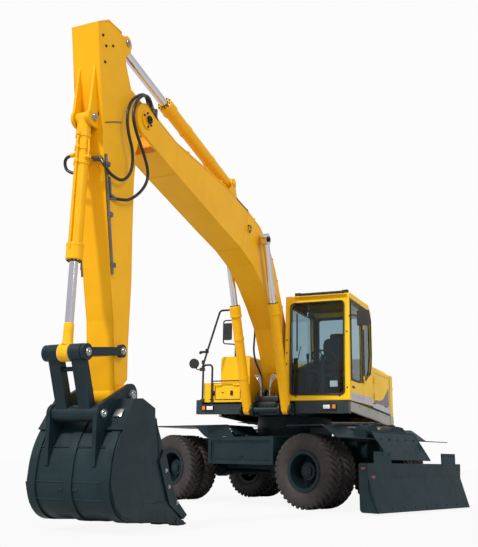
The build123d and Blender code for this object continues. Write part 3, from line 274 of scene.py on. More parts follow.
def add_prism(bm, points, low, high, frame_=WORLD, plane="xz"):
    """An outline extruded: points in x and z between two y, or in x and y between two z, or in y and z between two x."""
    def at(p, d):
        return frame_ @ Vector({"xz": (p[0], d, p[1]), "xy": (p[0], p[1], d), "yz": (d, p[0], p[1])}[plane])
    a = [bm.verts.new(at(p, low)) for p in points]
    b = [bm.verts.new(at(p, high)) for p in points]
    bm.faces.new(a)
    bm.faces.new(b[::-1])
    for i in range(len(a)):
        j = (i + 1) % len(a)
        bm.faces.new((a[i], b[i], b[j], a[j]))
    bmesh.ops.recalc_face_normals(bm, faces=bm.faces)


def smooth_line(points, steps=6, closed=False):
    """A smooth line through the points."""
    p = [Vector(q) for q in points]
    if len(p) < 3:
        return p
    out = []
    n = len(p)
    for i in range(n if closed else n - 1):
        a, b, c, d = (p[(i - 1) % n] if closed or i else p[0] * 2 - p[1], p[i], p[(i + 1) % n],
                      p[(i + 2) % n] if closed or i + 2 < n else p[-1] * 2 - p[-2])
        for k in range(steps):
            t = k / steps
            out.append(0.5 * (2 * b + (c - a) * t + (2 * a - 5 * b + 4 * c - d) * t * t + (3 * b - a - 3 * c + d) * t ** 3))
    if not closed:
        out.append(p[-1])
    return out


def add_tube(bm, line, radius, sides=10, capped=True):
    """A tube along a line of points."""
    line = [Vector(p) for p in line]
    radii = radius if isinstance(radius, (list, tuple)) else [radius] * len(line)
    side = None
    rings = []
    for i, p in enumerate(line):
        run = (line[min(i + 1, len(line) - 1)] - line[max(i - 1, 0)]).normalized()
        if side is None:
            side = run.orthogonal().normalized()
        side = (side - run * side.dot(run)).normalized()
        up = run.cross(side)
        rings.append([bm.verts.new(p + (side * cos(2 * pi * k / sides) + up * sin(2 * pi * k / sides)) * radii[i])
                      for k in range(sides)])
    for a, b in zip(rings, rings[1:]):
        for k in range(sides):
            bm.faces.new((a[k], a[(k + 1) % sides], b[(k + 1) % sides], b[k]))
    if capped:
        bm.faces.new(rings[0][::-1])
        bm.faces.new(rings[-1])


def add_bolts(bm, places, axis, radius=0.014, height=0.012):
    """Hexagon bolt heads with a washer at these places."""
    for at in places:
        add_turned(bm, [(-0.001, 0), (-0.001, radius * 1.35), (0.003, radius * 1.35), (0.003, radius)], at,
            axis, 12)
        add_turned(bm, [(0.002, radius), (height, radius), (height + 0.002, radius * 0.8),
            (height + 0.002, 0)], at, axis, 6)


# ---------------------------------------------------------------- camera, light and floor
def view_camera():
    yaw, pitch, roll = radians(204.2963), radians(13.6098), radians(1.0010)
    d = Vector((cos(yaw) * cos(pitch), sin(yaw) * cos(pitch), sin(pitch)))
    r = Vector((sin(yaw), -cos(yaw), 0))
    u = r.cross(d)
    right = r * cos(roll) + u * sin(roll)
    top = u * cos(roll) - r * sin(roll)
    data = bpy.data.cameras.new("camera")
    data.sensor_fit = "VERTICAL"
    data.sensor_height = 36.0
    data.lens = 759.05 * 36.0 / 547
    data.clip_end = 200
    cam = bpy.data.objects.new("camera", data)
    bpy.context.collection.objects.link(cam)
    m = Matrix((right, top, -d)).transposed().to_4x4()
    m.translation = Vector((11.9706, 4.3523, 0.7005))
    cam.matrix_world = m
    bpy.context.scene.camera = cam


def lamp(name, kind, energy, at, to, size=1.0, colour=(1, 1, 1)):
    data = bpy.data.lights.new(name, kind)
    data.energy = energy
    data.color = colour
    if kind == "AREA":
        data.size = size
    else:
        data.angle = radians(size)
    obj = bpy.data.objects.new(name, data)
    obj.location = at
    obj.rotation_euler = (Vector(to) - Vector(at)).to_track_quat("-Z", "Y").to_euler()
    bpy.context.collection.objects.link(obj)


def surroundings():
    world = bpy.data.worlds.new("studio")
    bpy.context.scene.world = world
    world.use_nodes = True
    t = world.node_tree
    t.nodes.clear()
    out = t.nodes.new("ShaderNodeOutputWorld")
    mix = t.nodes.new("ShaderNodeMixShader")
    path = t.nodes.new("ShaderNodeLightPath")
    shown = t.nodes.new("ShaderNodeBackground")
    shown.inputs[0].default_value = (0.975, 0.975, 0.975, 1)
    light = t.nodes.new("ShaderNodeBackground")
    light.inputs[0].default_value = (0.95, 0.97, 1.0, 1)
    light.inputs[1].default_value = 0.62
    t.links.new(path.outputs["Is Camera Ray"], mix.inputs[0])
    t.links.new(light.outputs[0], mix.inputs[1])
    t.links.new(shown.outputs[0], mix.inputs[2])
    t.links.new(mix.outputs[0], out.inputs[0])
    lamp("key", "SUN", 2.7, (9, -2.5, 11), (0, 0, 1), 6, (1.0, 0.98, 0.94))
    lamp("side", "SUN", 0.9, (5, 9, 6), (0, 0, 1), 20)
    m = bpy.data.materials.new("floor_pale")
    m.use_nodes = True
    t = m.node_tree
    t.nodes.clear()
    out = t.nodes.new("ShaderNodeOutputMaterial")
    mix = t.nodes.new("ShaderNodeMixShader")
    path = t.nodes.new("ShaderNodeLightPath")
    scale = t.nodes.new("ShaderNodeMath")
    scale.operation = "MULTIPLY"
    scale.inputs[1].default_value = 0.93
    flat = t.nodes.new("ShaderNodeEmission")
    flat.inputs[0].default_value = (0.975, 0.975, 0.975, 1)
    dull = t.nodes.new("ShaderNodeBsdfDiffuse")
    dull.inputs[0].default_value = (0.55, 0.55, 0.55, 1)
    t.links.new(path.outputs["Is Camera Ray"], scale.inputs[0])
    t.links.new(scale.outputs[0], mix.inputs[0])
    t.links.new(dull.outputs[0], mix.inputs[1])
    t.links.new(flat.outputs[0], mix.inputs[2])
    t.links.new(mix.outputs[0], out.inputs[0])
    bm = bmesh.new()
    bmesh.ops.create_grid(bm, x_segments=1, y_segments=1, size=60)
    mesh = bpy.data.meshes.new("floor")
    bm.to_mesh(mesh)
    bm.free()
    floor = bpy.data.objects.new("floor", mesh)
    floor.location.z = -0.002
    mesh.materials.append(m)
    bpy.context.collection.objects.link(floor)
    bpy.context.scene.view_settings.view_transform = "Standard"


view_camera()
surroundings()

# ---------------------------------------------------------------- tyres
TYRE_R, TYRE_HALF = 0.525, 0.139
TWIN = (1.107, 0.777)
WHEELS = [("blade_left", 1.145, 1), ("blade_right", 1.145, -1), ("steer_left", -1.644, 1),
    ("steer_right", -1.644, -1)]
SIDEWALL = [(0.0945, 0.2505), (0.0945, 0.290), (0.100, 0.300), (0.116, 0.318), (0.130, 0.350),
    (0.1375, 0.390), (0.1385, 0.425),
            (0.1345, 0.455), (0.127, 0.478), (0.114, 0.496), (0.095, 0.5015), (0.05, 0.5035), (0.0, 0.504)]
LUGS = 36


def tyre(bm, x, side, centre):
    """A round carcass with V-shaped lugs, their points trailing toward the frame's blade end."""
    profile = SIDEWALL + [(-w, r) for w, r in reversed(SIDEWALL[:-1])]
    hub = ch(x, 0, TYRE_R)
    out = CY * side
    n = 72

    def at(w, r, turn):
        return hub + out * (centre + w) + (CX * cos(turn) + UP * sin(turn)) * r
    rings = [[bm.verts.new(at(w, r, 2 * pi * i / n)) for i in range(n)] for w, r in profile]
    for a, b in zip(rings, rings[1:]):
        for i in range(n):
            bm.faces.new((a[i], a[(i + 1) % n], b[(i + 1) % n], b[i]))
    # distance from the middle, lead of the lug in rad, half width in rad, top radius, base radius
    sections = [(0.004, 0.000, 0.050, 0.524, 0.500), (0.045, 0.060, 0.046, 0.5245, 0.500),
        (0.098, 0.130, 0.052, 0.5235, 0.498),
                (0.124, 0.155, 0.050, 0.512, 0.478), (0.1385, 0.166, 0.040, 0.480, 0.450)]
    for hand in (1, -1):
        for i in range(LUGS):
            start = 2 * pi * (i + (0.5 if hand < 0 else 0)) / LUGS
            loops = []
            for w, lead, half, top, base in sections:
                c = start + lead
                loops.append([bm.verts.new(at(hand * w, base, c - half * 1.15)),
                    bm.verts.new(at(hand * w, top, c - half * 0.82)),
                              bm.verts.new(at(hand * w, top, c + half * 0.82)),
                              bm.verts.new(at(hand * w, base, c + half * 1.15))])
            for a, b in zip(loops, loops[1:]):
                for k in range(3):
                    bm.faces.new((a[k], a[k + 1], b[k + 1], b[k]))
            bm.faces.new(loops[0])
            bm.faces.new(loops[-1][::-1])
    bmesh.ops.recalc_face_normals(bm, faces=bm.faces)


for name, x, side in WHEELS:
    bm = bmesh.new()
    for centre in TWIN:
        tyre(bm, x, side, centre)
    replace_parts(piece("tyre_tread_" + name, bm, "tyre", "wheels_" + name, 28), "tyres_" + name)

# ---------------------------------------------------------------- more ways of making
def add_ring(bm, line, radius, sides=6):
    """A closed tube along a loop of points."""
    line = [Vector(p) for p in line]
    n = len(line)
    rings = []
    side = None
    for i, p in enumerate(line):
        run = (line[(i + 1) % n] - line[i - 1]).normalized()
        if side is None:
            side = run.orthogonal().normalized()
        side = (side - run * side.dot(run)).normalized()
        up = run.cross(side)
        rings.append([bm.verts.new(p + (side * cos(2 * pi * k / sides) + up * sin(2 * pi * k / sides)) * radius)
                      for k in range(sides)])
    for i in range(n):
        a, b = rings[i], rings[(i + 1) % n]
        for k in range(sides):
            bm.faces.new((a[k], a[(k + 1) % sides], b[(k + 1) % sides], b[k]))


def rounded(loop, radius, steps=5):
    """The loop with its corners rounded."""
    out = []
    n = len(loop)
    for i in range(n):
        a, p, b = Vector(loop[i - 1]), Vector(loop[i]), Vector(loop[(i + 1) % n])
        r0 = min(radius, (a - p).length * 0.45)
        r1 = min(radius, (b - p).length * 0.45)
        start, end = p + (a - p).normalized() * r0, p + (b - p).normalized() * r1
        for k in range(steps + 1):
            t = k / steps
            out.append(tuple(start * (1 - t) ** 2 + p * 2 * t * (1 - t) + end * t * t))
    return out


def polar(loop, centre, angles):
    """Where rays from the centre at these angles meet a closed outline."""
    out = []
    for a in angles:
        d = (cos(a), sin(a))
        best = 0
        for (x0, y0), (x1, y1) in zip(loop, loop[1:] + loop[:1]):
            e = (x1 - x0, y1 - y0)
            det = e[0] * d[1] - e[1] * d[0]
            if abs(det) < 1e-12:
                continue
            r = (centre[0] - x0, centre[1] - y0)
            s = (r[0] * d[1] - r[1] * d[0]) / det
            t = (r[0] * e[1] - r[1] * e[0]) / det
            if -1e-6 <= s <= 1 + 1e-6 and t > best:
                best = t
        out.append((centre[0] + d[0] * best, centre[1] + d[1] * best))
    return out


def add_frame(bm, outer, inner, low, high, plane="xz", frame_=WORLD):
    """A flat plate with an opening, between two distances."""
    centre = (sum(p[0] for p in inner) / len(inner), sum(p[1] for p in inner) / len(inner))
    angles = sorted({round(atan2(p[1] - centre[1], p[0] - centre[0]), 5) for p in outer + inner}
                    | {round(-pi + 2 * pi * k / 48, 5) for k in range(48)})
    loops = []
    for loop in (polar(outer, centre, angles), polar(inner, centre, angles)):
        for d in (low, high):
            loops.append([bm.verts.new(frame_ @ Vector({"xz": (p[0], d, p[1]), "yz": (d, p[0], p[1]),
                                                        "xy": (p[0], p[1], d)}[plane])) for p in loop])
    o0, o1, i0, i1 = loops
    n = len(angles)
    for a, b in ((o0, o1), (o1, i1), (i1, i0), (i0, o0)):
        for k in range(n):
            bm.faces.new((a[k], a[(k + 1) % n], b[(k + 1) % n], b[k]))
    bmesh.ops.recalc_face_normals(bm, faces=bm.faces)


def add_pin(bm, at, axis, radius, thick=0.016):
    """A pin's end: a cap with a groove, and its grease nipple."""
    add_turned(bm, [(-0.004, radius), (thick * 0.5, radius), (thick * 0.55, radius * 0.9),
        (thick, radius * 0.86),
                    (thick, radius * 0.55), (thick * 0.6, radius * 0.5), (thick * 0.6, 0)], at, axis, 24)
    add_turned(bm, [(0, 0.007), (thick + 0.006, 0.006), (thick + 0.012, 0.003), (thick + 0.012, 0)], at, axis,
        8)


def line_of(name, points):
    """Points along the smooth spline that these points control."""
    curve = bpy.data.curves.new(name, "CURVE")
    curve.dimensions = "3D"
    s = curve.splines.new("NURBS")
    s.points.add(len(points) - 1)
    for p, q in zip(s.points, points):
        p.co = (*q, 1)
    s.order_u = 3
    s.use_endpoint_u = True
    s.resolution_u = 8
    obj = bpy.data.objects.new(name, curve)
    mesh = bpy.data.meshes.new_from_object(obj)
    path = [v.co.copy() for v in mesh.vertices]
    bpy.data.objects.remove(obj)
    bpy.data.curves.remove(curve)
    bpy.data.meshes.remove(mesh)
    return path


def hose(name, points, radius, body, across=None, kind="hose"):
    """A pressure hose held at its two ends along the smooth line through the points; if it crosses a joint
    between two bodies it is fixed in the world and attached to neither, so it does not bend with the joint.
    """
    path = line_of(name + "_line", points)
    bm = bmesh.new()
    add_tube(bm, path, radius, 12)
    obj = piece(name, bm, kind, body, blend=across)
    return path


def add_fitting(bm, at, towards, radius):
    """A crimped ferrule and nut on a hose's end."""
    add_turned(bm, [(-0.03, 0), (-0.03, radius * 1.25), (-0.012, radius * 1.25), (-0.012, radius * 1.5),
        (0.012, radius * 1.5),
                    (0.012, radius * 1.2), (0.03, radius * 1.22), (0.062, radius * 1.18),
                    (0.066, radius * 1.02), (0.066, 0)],
               at, Vector(towards) - Vector(at), 12)


def beads(name, lines, body, kind="yellow", radius=0.005):
    """Weld beads along edges."""
    bm = bmesh.new()
    for line in lines:
        add_tube(bm, line, radius, 6)
    piece(name, bm, kind, body, 60)


def both(points):
    """The points, and their mirror on the other side of the middle."""
    return list(points) + [(x, -y, z) for x, y, z in points]


SIDES = (1, -1)

# ---------------------------------------------------------------- hoses
upper_path = hose("hose_arm_upper", [
    (6.044, 0.135, 3.586), (6.054, 0.190, 3.509), (5.981, 0.222, 3.425), (5.781, 0.240, 3.417),
    (5.657, 0.260, 3.575),
    (5.667, 0.268, 3.789), (5.787, 0.268, 3.961), (5.822, 0.268, 4.146), (5.754, 0.262, 4.341),
    (5.524, 0.250, 4.525),
    (5.375, 0.215, 4.565), (5.268, 0.182, 4.500)], 0.0165, "arm",
    ("arm", "boom", (5.70, 0.26, 3.9), (5.50, 0.24, 4.50)))
lower_path = hose("hose_arm_lower", [
    (5.885, 0.160, 3.225), (5.772, 0.222, 3.229), (5.621, 0.240, 3.276), (5.413, 0.262, 3.462),
    (5.358, 0.285, 3.642),
    (5.528, 0.312, 3.817), (5.707, 0.314, 3.989), (5.791, 0.314, 4.154), (5.707, 0.306, 4.357),
    (5.524, 0.280, 4.511),
    (5.330, 0.240, 4.555), (5.219, 0.205, 4.480)], 0.0165, "arm",
    ("arm", "boom", (5.70, 0.26, 3.9), (5.50, 0.24, 4.50)))
foot_path = hose("hose_boom_foot", [
    (1.191, -0.218, 2.760), (1.201, -0.222, 2.538), (1.236, -0.228, 2.296), (1.107, -0.230, 2.104),
    (0.951, -0.228, 2.017),
    (0.890, -0.225, 1.850), (0.885, -0.225, 1.558)], 0.015, "boom",
    ("boom", "upper", (1.19, -0.22, 2.5), (0.95, -0.22, 1.95)))
hose("hose_arm_grease", [(5.943, 0.070, 5.105), (5.88, 0.072, 5.165), (5.80, 0.075, 5.168),
    (5.745, 0.078, 5.150),
                         (5.735, 0.078, 5.10), (5.742, 0.078, 5.068)], 0.006, "arm")
bm = bmesh.new()
add_fitting(bm, upper_path[0], upper_path[4], 0.0165)
add_fitting(bm, lower_path[0], lower_path[4], 0.0165)
add_turned(bm, [(-0.05, 0), (-0.05, 0.026), (0.02, 0.026), (0.02, 0.02), (0.03, 0)], (6.044, 0.10, 3.60),
    (0, 1, 0), 12)
add_tube(bm, line_of("pipe_a", [(6.09, -0.02, 3.60), (6.085, 0.05, 3.60), (6.06, 0.10, 3.60),
    (6.044, 0.135, 3.587)]), 0.014, 10)
add_tube(bm, line_of("pipe_b", [(5.866, 0.198, 3.235), (5.93, 0.192, 3.235), (5.925, 0.19, 3.30),
    (5.955, 0.186, 3.42)]), 0.013, 10)
add_tube(bm, [(6.051, 0.166, 3.975), (5.90, 0.170, 4.045), (5.76, 0.170, 4.100)], 0.005, 8)
piece("arm_fittings", bm, "steel", "arm")
bm = bmesh.new()
for path, y in ((upper_path, 0.135), (lower_path, 0.170)):
    add_fitting(bm, path[-1], path[-5], 0.0165)
    end = Vector(path[-1])
    add_tube(bm, line_of("pipe_c", [tuple(end), (end.x - 0.06, end.y, end.z - 0.02), (5.08, y, 4.452),
        (5.035, y, 4.434)]),
             0.013, 10)
add_box(bm, (5.12, 5.155), (0.10, 0.215), (4.425, 4.52), 0.005)
add_fitting(bm, foot_path[0], foot_path[4], 0.015)
piece("boom_hose_fittings", bm, "steel", "boom")

# ---------------------------------------------------------------- boom
BOOM_UNDER = [(0.912, 2.0), (1.27, 2.612), (1.611, 2.925), (1.95, 3.19), (2.291, 3.386), (2.697, 3.52),
    (3.296, 3.643),
              (4.604, 3.933), (4.93, 4.012)]
BOOM_OVER = [(4.98, 4.385), (4.6, 4.3), (3.255, 4.23), (2.486, 4.11), (2.0, 3.99), (1.64, 3.76),
    (1.415, 3.506),
             (1.232, 3.191), (0.983, 2.771), (0.62, 2.20)]
beads("boom_welds", [[(x, s * 0.194, z) for x, z in line] for line in (BOOM_UNDER, BOOM_OVER) for s in SIDES],
    "boom")
bm = bmesh.new()
for p, q in (((1.611, 2.925), (1.232, 3.191)), ((2.697, 3.52), (2.486, 4.11)), ((4.604, 3.933), (4.6, 4.3))):
    for s in SIDES:
        add_tube(bm, [(p[0], s * 0.1955, p[1]), (q[0], s * 0.1955, q[1])], 0.004, 6)
    add_tube(bm, [(p[0] - 0.002, -0.19, p[1] - 0.002), (p[0] - 0.002, 0.19, p[1] - 0.002)], 0.004, 6)
piece("boom_seams", bm, "yellow", "boom", 60)
bm = bmesh.new()
for s in SIDES:
    add_pin(bm, (2.09, s * 0.358, 3.80), (0, s, 0), 0.042)
    add_pin(bm, (5.319, s * 0.235, 4.307), (0, s, 0), 0.048)
    add_turned(bm, [(-0.01, 0.05), (0.006, 0.05), (0.006, 0.036), (-0.004, 0.034), (-0.004, 0)],
        (2.45, s * 0.209, 3.88), (0, s, 0), 20)
    add_bolts(bm, [(5.319 + 0.078 * cos(a), s * 0.211, 4.307 + 0.078 * sin(a)) for a in (0.4, 1.4, 3.6, 4.6)],
        (0, s, 0), 0.011)
    add_bolts(bm, [(2.45 + 0.058 * cos(a), s * 0.209, 3.88 + 0.058 * sin(a)) for a in (0.5, 2.6, 4.7)],
        (0, s, 0), 0.008)
piece("boom_pins", bm, "dark", "boom")
bm = bmesh.new()
for x in (4.3, 3.8, 3.35):
    for s in SIDES:
        z0 = 4.264 + (x - 3.252) / 1.348 * 0.068
        add_box(bm, (x - 0.018, x + 0.018), span(s, 0.114, 0.192), (z0 - 0.016, z0 + 0.020), 0.006)
        add_bolts(bm, [(x, s * 0.1525, z0 + 0.020)], (0, 0, 1), 0.010)
for (x, z), (dx, dz) in (((1.80, 3.902), (0.84, 0.54)), ((1.50, 3.655), (0.66, 0.75)),
    ((1.29, 3.36), (0.5, 0.87)),
                         ((1.08, 2.99), (0.5, 0.86)), ((2.23, 4.082), (0.96, 0.26))):
    for s in SIDES:
        place = Matrix.Translation((x, s * 0.1525, z)) @ Matrix.Rotation(-atan2(dz, dx), 4, "Y")
        add_box(bm, (-0.018, 0.018), (-0.04, 0.04), (-0.038, 0.02), 0.006, place)
piece("boom_pipe_clamps", bm, "yellow", "boom")
bm = bmesh.new()
for y in (-0.17, -0.135, 0.135, 0.17):
    add_tube(bm, [(2.80, y, 4.1938), (2.64, y, 4.169), (2.50, y, 4.1474)], 0.0165, 12)
piece("boom_hose_run", bm, "hose", "boom")
bm = bmesh.new()
for y in (-0.17, -0.135, 0.135, 0.17):
    add_fitting(bm, (2.83, y, 4.1985), (2.64, y, 4.169), 0.0135)
    add_fitting(bm, (2.479, y, 4.1442), (2.64, y, 4.169), 0.0135)
piece("boom_hose_ferrules", bm, "steel", "boom")

# ---------------------------------------------------------------- arm
ARM_FRONT = [(5.59, 1.25), (5.655, 1.711), (5.692, 2.005), (5.787, 2.393), (5.89, 2.882), (5.994, 3.375),
    (6.093, 3.982),
             (6.171, 4.386), (6.277, 4.985)]
ARM_REAR = [(5.86, 5.095), (5.743, 4.808), (5.64, 4.56)]
ARM_BACK = [(5.446, 3.796), (5.464, 3.561), (5.443, 3.01), (5.412, 2.475), (5.414, 1.743), (5.395, 1.44)]
beads("arm_welds", [[(x, s * 0.1592, z) for x, z in line] for line in (ARM_FRONT, ARM_REAR,
    ARM_BACK) for s in SIDES], "arm")
bm = bmesh.new()
cap = [(6.276, 4.975), (6.279, 4.995), (6.102, 5.112), (5.852, 5.108), (5.846, 5.088), (5.862, 5.094),
    (6.098, 5.098), (6.268, 4.988)]
add_prism(bm, cap, -0.166, 0.166)
for s in SIDES:
    add_tube(bm, [(6.06, s * 0.161, 3.35), (6.0, s * 0.161, 3.35)], 0.004, 6)
    for z, x in ((2.99, 5.885), (2.45, 5.78)):
        add_box(bm, (x - 0.07, x - 0.015), span(s, 0.159, 0.166), (z - 0.03, z + 0.05), 0.002)
piece("arm_top_plate", bm, "yellow", "arm")
bm = bmesh.new()
for s in SIDES:
    add_bolts(bm, [(6.180, s * 0.160, 4.889), (6.116, s * 0.160, 4.800), (5.993, s * 0.160, 4.865),
        (6.116, s * 0.160, 4.617)],
              (0, s, 0), 0.012)
add_turned(bm, [(-0.004, 0.022), (0.004, 0.022), (0.004, 0.015), (-0.002, 0.014), (-0.002, 0)],
    (6.1075, 0.102, 4.056),
           (1, 0, -0.18), 16)
piece("arm_bolts", bm, "dark", "arm")
bm = bmesh.new()
for s in SIDES:
    add_pin(bm, (5.491, s * 0.30, 1.282), (0, s, 0), 0.048)
    add_pin(bm, (5.609, s * 0.24, 1.703), (0, s, 0), 0.036)
    add_pin(bm, (6.172, s * 0.12, 3.99), (0, s, 0), 0.040)
    add_pin(bm, (5.65, s * 0.115, 5.091), (0, s, 0), 0.040)
piece("arm_pins", bm, "bright", "arm")

# ---------------------------------------------------------------- cylinders
def cylinder_detail(name, body, foot, eye, length, radius, ys, bands, kind="yellow", frame_=WORLD):
    """A head with its bolts, retaining bands and the feed pipe of a cylinder's barrel."""
    bm = bmesh.new()
    dark = bmesh.new()
    run = Vector((eye[0] - foot[0], 0, eye[1] - foot[1])).normalized()
    across_ = Vector((0, 1, 0))
    up_ = run.cross(across_)
    for y in ys:
        base = Vector((foot[0], y, foot[1]))
        head = base + run * length
        for d in bands:
            at = base + run * d
            add_turned(bm, [(-0.02, radius), (-0.02, radius + 0.008), (0.02, radius + 0.008), (0.02, radius)],
                at, run, 28)
            add_box(bm, (-0.018, 0.018), (-0.02, 0.02), (radius, radius + 0.030), 0.004,
                    Matrix.Translation(at) @ Matrix((run, across_, up_)).transposed().to_4x4())
        add_turned(bm, [(-0.158, radius + 0.012), (-0.15, radius + 0.016), (-0.13, radius + 0.016),
            (-0.122, radius + 0.012)], head, run, 28)
        add_turned(bm, [(0, radius + 0.010), (0.008, radius + 0.004), (0.012, radius * 0.8),
            (0.012, radius * 0.66)], head, run, 28)
        ring = [head + (across_ * cos(a) + up_ * sin(a)) * (radius - 0.006) for a in (2 * pi * i / 10 for i in range(10))]
        add_bolts(dark, [p + run * 0.010 for p in ring], run, 0.008, 0.010)
        add_turned(dark, [(0, radius * 0.66), (0.016, radius * 0.68), (0.018, radius * 0.62)],
            head + run * 0.004, run, 20)
        top = up_ * (radius + 0.016)
        start, end = base + run * 0.22 + top, head - run * 0.10 + top
        add_tube(bm, line_of(name + "_feed", [tuple(base + run * 0.20 + up_ * radius * 0.9), tuple(start),
            tuple(start + run * 0.05),
                                              tuple(end - run * 0.05), tuple(end),
                                              tuple(end + run * 0.02 - up_ * 0.014)]), 0.010, 8)
    if frame_ is not WORLD:
        bm.transform(frame_)
        dark.transform(frame_)
    piece(name + "_head", bm, kind, body)
    piece(name + "_gland_bolts", dark, "dark", body)


cylinder_detail("boom_cylinders", "boom_barrels", (1.24, 1.40), (2.09, 3.80), 1.59, 0.072, (0.31, -0.31),
    (0.5, 1.1))
cylinder_detail("arm_cylinder", "arm_barrel", (2.80, 4.447), (5.65, 5.091), 1.86, 0.082, (0.0,), (0.6, 1.3))
cylinder_detail("bucket_cylinder", "bucket_barrel", (6.172, 3.99), (6.195, 1.622), 1.47, 0.070, (0.0,),
    (0.19, 0.33, 0.48))
cylinder_detail("blade_cylinders", "blade_barrels", (1.70, 0.86), (2.125, 0.40), 0.39, 0.050, (0.125, -0.125),
    (0.15,), "dark",
                CHASSIS)
hose("bucket_cylinder_hose", [(6.20, -0.09, 3.60), (6.21, -0.16, 3.59), (6.20, -0.19, 3.53),
    (6.18, -0.165, 3.44),
                              (6.17, -0.085, 3.42)], 0.016, "bucket_barrel")
bm = bmesh.new()
add_tube(bm, [(6.20, 0.088, 3.74), (6.20, 0.096, 3.66), (6.20, 0.092, 3.56)], 0.010, 8)
add_turned(bm, [(-0.03, 0), (-0.03, 0.022), (0.03, 0.022), (0.03, 0)], (6.20, 0.085, 3.56), (0, 1, 0), 12)
add_turned(bm, [(-0.03, 0), (-0.03, 0.022), (0.02, 0.022), (0.02, 0)], (6.20, -0.085, 3.60), (0, 1, 0), 12)
piece("bucket_cylinder_ports", bm, "yellow", "bucket_barrel")

# ---------------------------------------------------------------- linkage and bucket
bm = bmesh.new()
for s in SIDES:
    add_pin(bm, (6.195, s * 0.236, 1.622), (0, s, 0), 0.040)
piece("link_pins", bm, "bright", "guide_links")
bm = bmesh.new()
add_turned(bm, [(-0.0608, 0.040), (-0.0608, 0.078), (-0.054, 0.0862), (0.054, 0.0862), (0.0608, 0.078),
    (0.0608, 0.040)],
           (6.195, 0, 1.622), (0, 1, 0), 40)
add_turned(bm, [(0.074, 0.060), (0.10, 0.050), (0.20, 0.048), (0.27, 0.0475), (0.278, 0.043)],
    (6.195, 0, 1.622), (-0.0097, 0, 1), 28)
piece("bucket_rod_eye", bm, "yellow", "bucket_rod")
bm = bmesh.new()
for s in SIDES:
    add_pin(bm, (5.982, s * 0.30, 1.073), (0, s, 0), 0.040)
    add_turned(bm, [(-0.002, 0.05), (0.012, 0.05), (0.014, 0.046), (0.014, 0.03), (0.004, 0.028)],
        (5.491, s * 0.284, 1.282), (0, s, 0), 24)
    add_bolts(bm, [(x, s * (0.470 + 0.022), z) for x, z in ((5.11, 0.56), (5.04, 0.40), (4.86, 0.24))],
        (0, s, 0), 0.016, 0.014)
piece("bucket_pins", bm, "bright", "bucket")


def back_of_bucket(z):
    """Where the bucket's back is at this height."""
    pts = [(5.600, 1.165), (5.78, 1.08), (5.905, 0.92), (5.995, 0.74), (6.04, 0.52), (6.025, 0.37),
        (5.975, 0.245), (5.86, 0.16), (5.70, 0.11)]
    for (x0, z0), (x1, z1) in zip(pts, pts[1:]):
        if z1 <= z <= z0:
            return x0 + (x1 - x0) * (z0 - z) / (z0 - z1)
    return 5.7


bm = bmesh.new()
for z, r in ((0.767, 0.009), (0.455, 0.010), (0.30, 0.008)):
    x = back_of_bucket(z) + 0.010
    add_tube(bm, [(x, -0.455, z), (x, -0.15, z), (x, 0.15, z), (x, 0.455, z)], r, 6)
for s in SIDES:
    add_prism(bm, [(5.716, 1.228), (5.94, 0.930), (5.925, 0.918), (5.700, 1.216)], *span(s, 0.284, 0.447))
    for y in (0.238, 0.288):
        add_tube(bm, [(6.0, s * y, 0.60), (5.99, s * y, 0.80), (5.93, s * y, 0.92), (5.79, s * y, 1.075)],
            0.006, 6)
    low = [(6.055, 0.45), (5.949, 0.362), (5.811, 0.305), (5.546, 0.258), (5.323, 0.248), (5.02, 0.262),
        (4.80, 0.10),
           (5.70, 0.120), (5.86, 0.165), (5.975, 0.25), (6.03, 0.37)]
    add_prism(bm, low, *span(s, 0.468, 0.477))
    add_tube(bm, [(5.31, s * 0.471, 1.06), (5.25, s * 0.471, 0.85), (5.22, s * 0.471, 0.66)], 0.007, 6)
for y in (-0.09, 0.076):
    add_box(bm, (6.022, 6.046), (y - 0.030, y + 0.030), (0.372, 0.400), 0.006)
piece("bucket_strips", bm, "dark", "bucket")
bm = bmesh.new()
f = Matrix.Translation((5.83, 0.37, 1.083)) @ Matrix.Rotation(atan2(0.298, 0.224), 4, "Y")
add_box(bm, (-0.045, 0.045), (-0.045, 0.045), (0.0065, 0.0105), 0.0015, f)
piece("bucket_plate_blank", bm, "bright", "bucket")
bm = bmesh.new()
for i in range(5):
    y = (i - 2) * 0.2125
    add_prism(bm, [(4.66, 0.010), (4.66, 0.052), (4.80, 0.090), (4.84, 0.052), (4.80, 0.012)], y - 0.05,
        y + 0.05)
    add_prism(bm, [(4.592, 0.013), (4.602, 0.030), (4.672, 0.052), (4.676, 0.009)], y - 0.034, y + 0.034)
piece("tooth_adapters", bm, "dark", "bucket")

# ---------------------------------------------------------------- cab, outside
QUARTER = [(0.325, 1.895), (0.325, 3.02), (-0.12, 2.96), (-0.14, 2.33), (-0.05, 2.03)]
DOOR_GLASS = [(0.442, 1.85), (1.047, 1.85), (1.047, 3.015), (0.442, 3.015)]
SCREEN_OUTLINE = [(0.352, 1.625), (1.19, 1.625), (1.19, 2.1), (1.19, 3.02), (0.352, 3.02), (0.352, 2.1)]
SCREEN_BEND = 2.1
SCREEN_LEAN = 0.0472


def on_screen(x, z):
    """X on the windscreen, which stands upright below its bend and leans back above it."""
    return x if z < SCREEN_BEND else x - (z - SCREEN_BEND) * SCREEN_LEAN


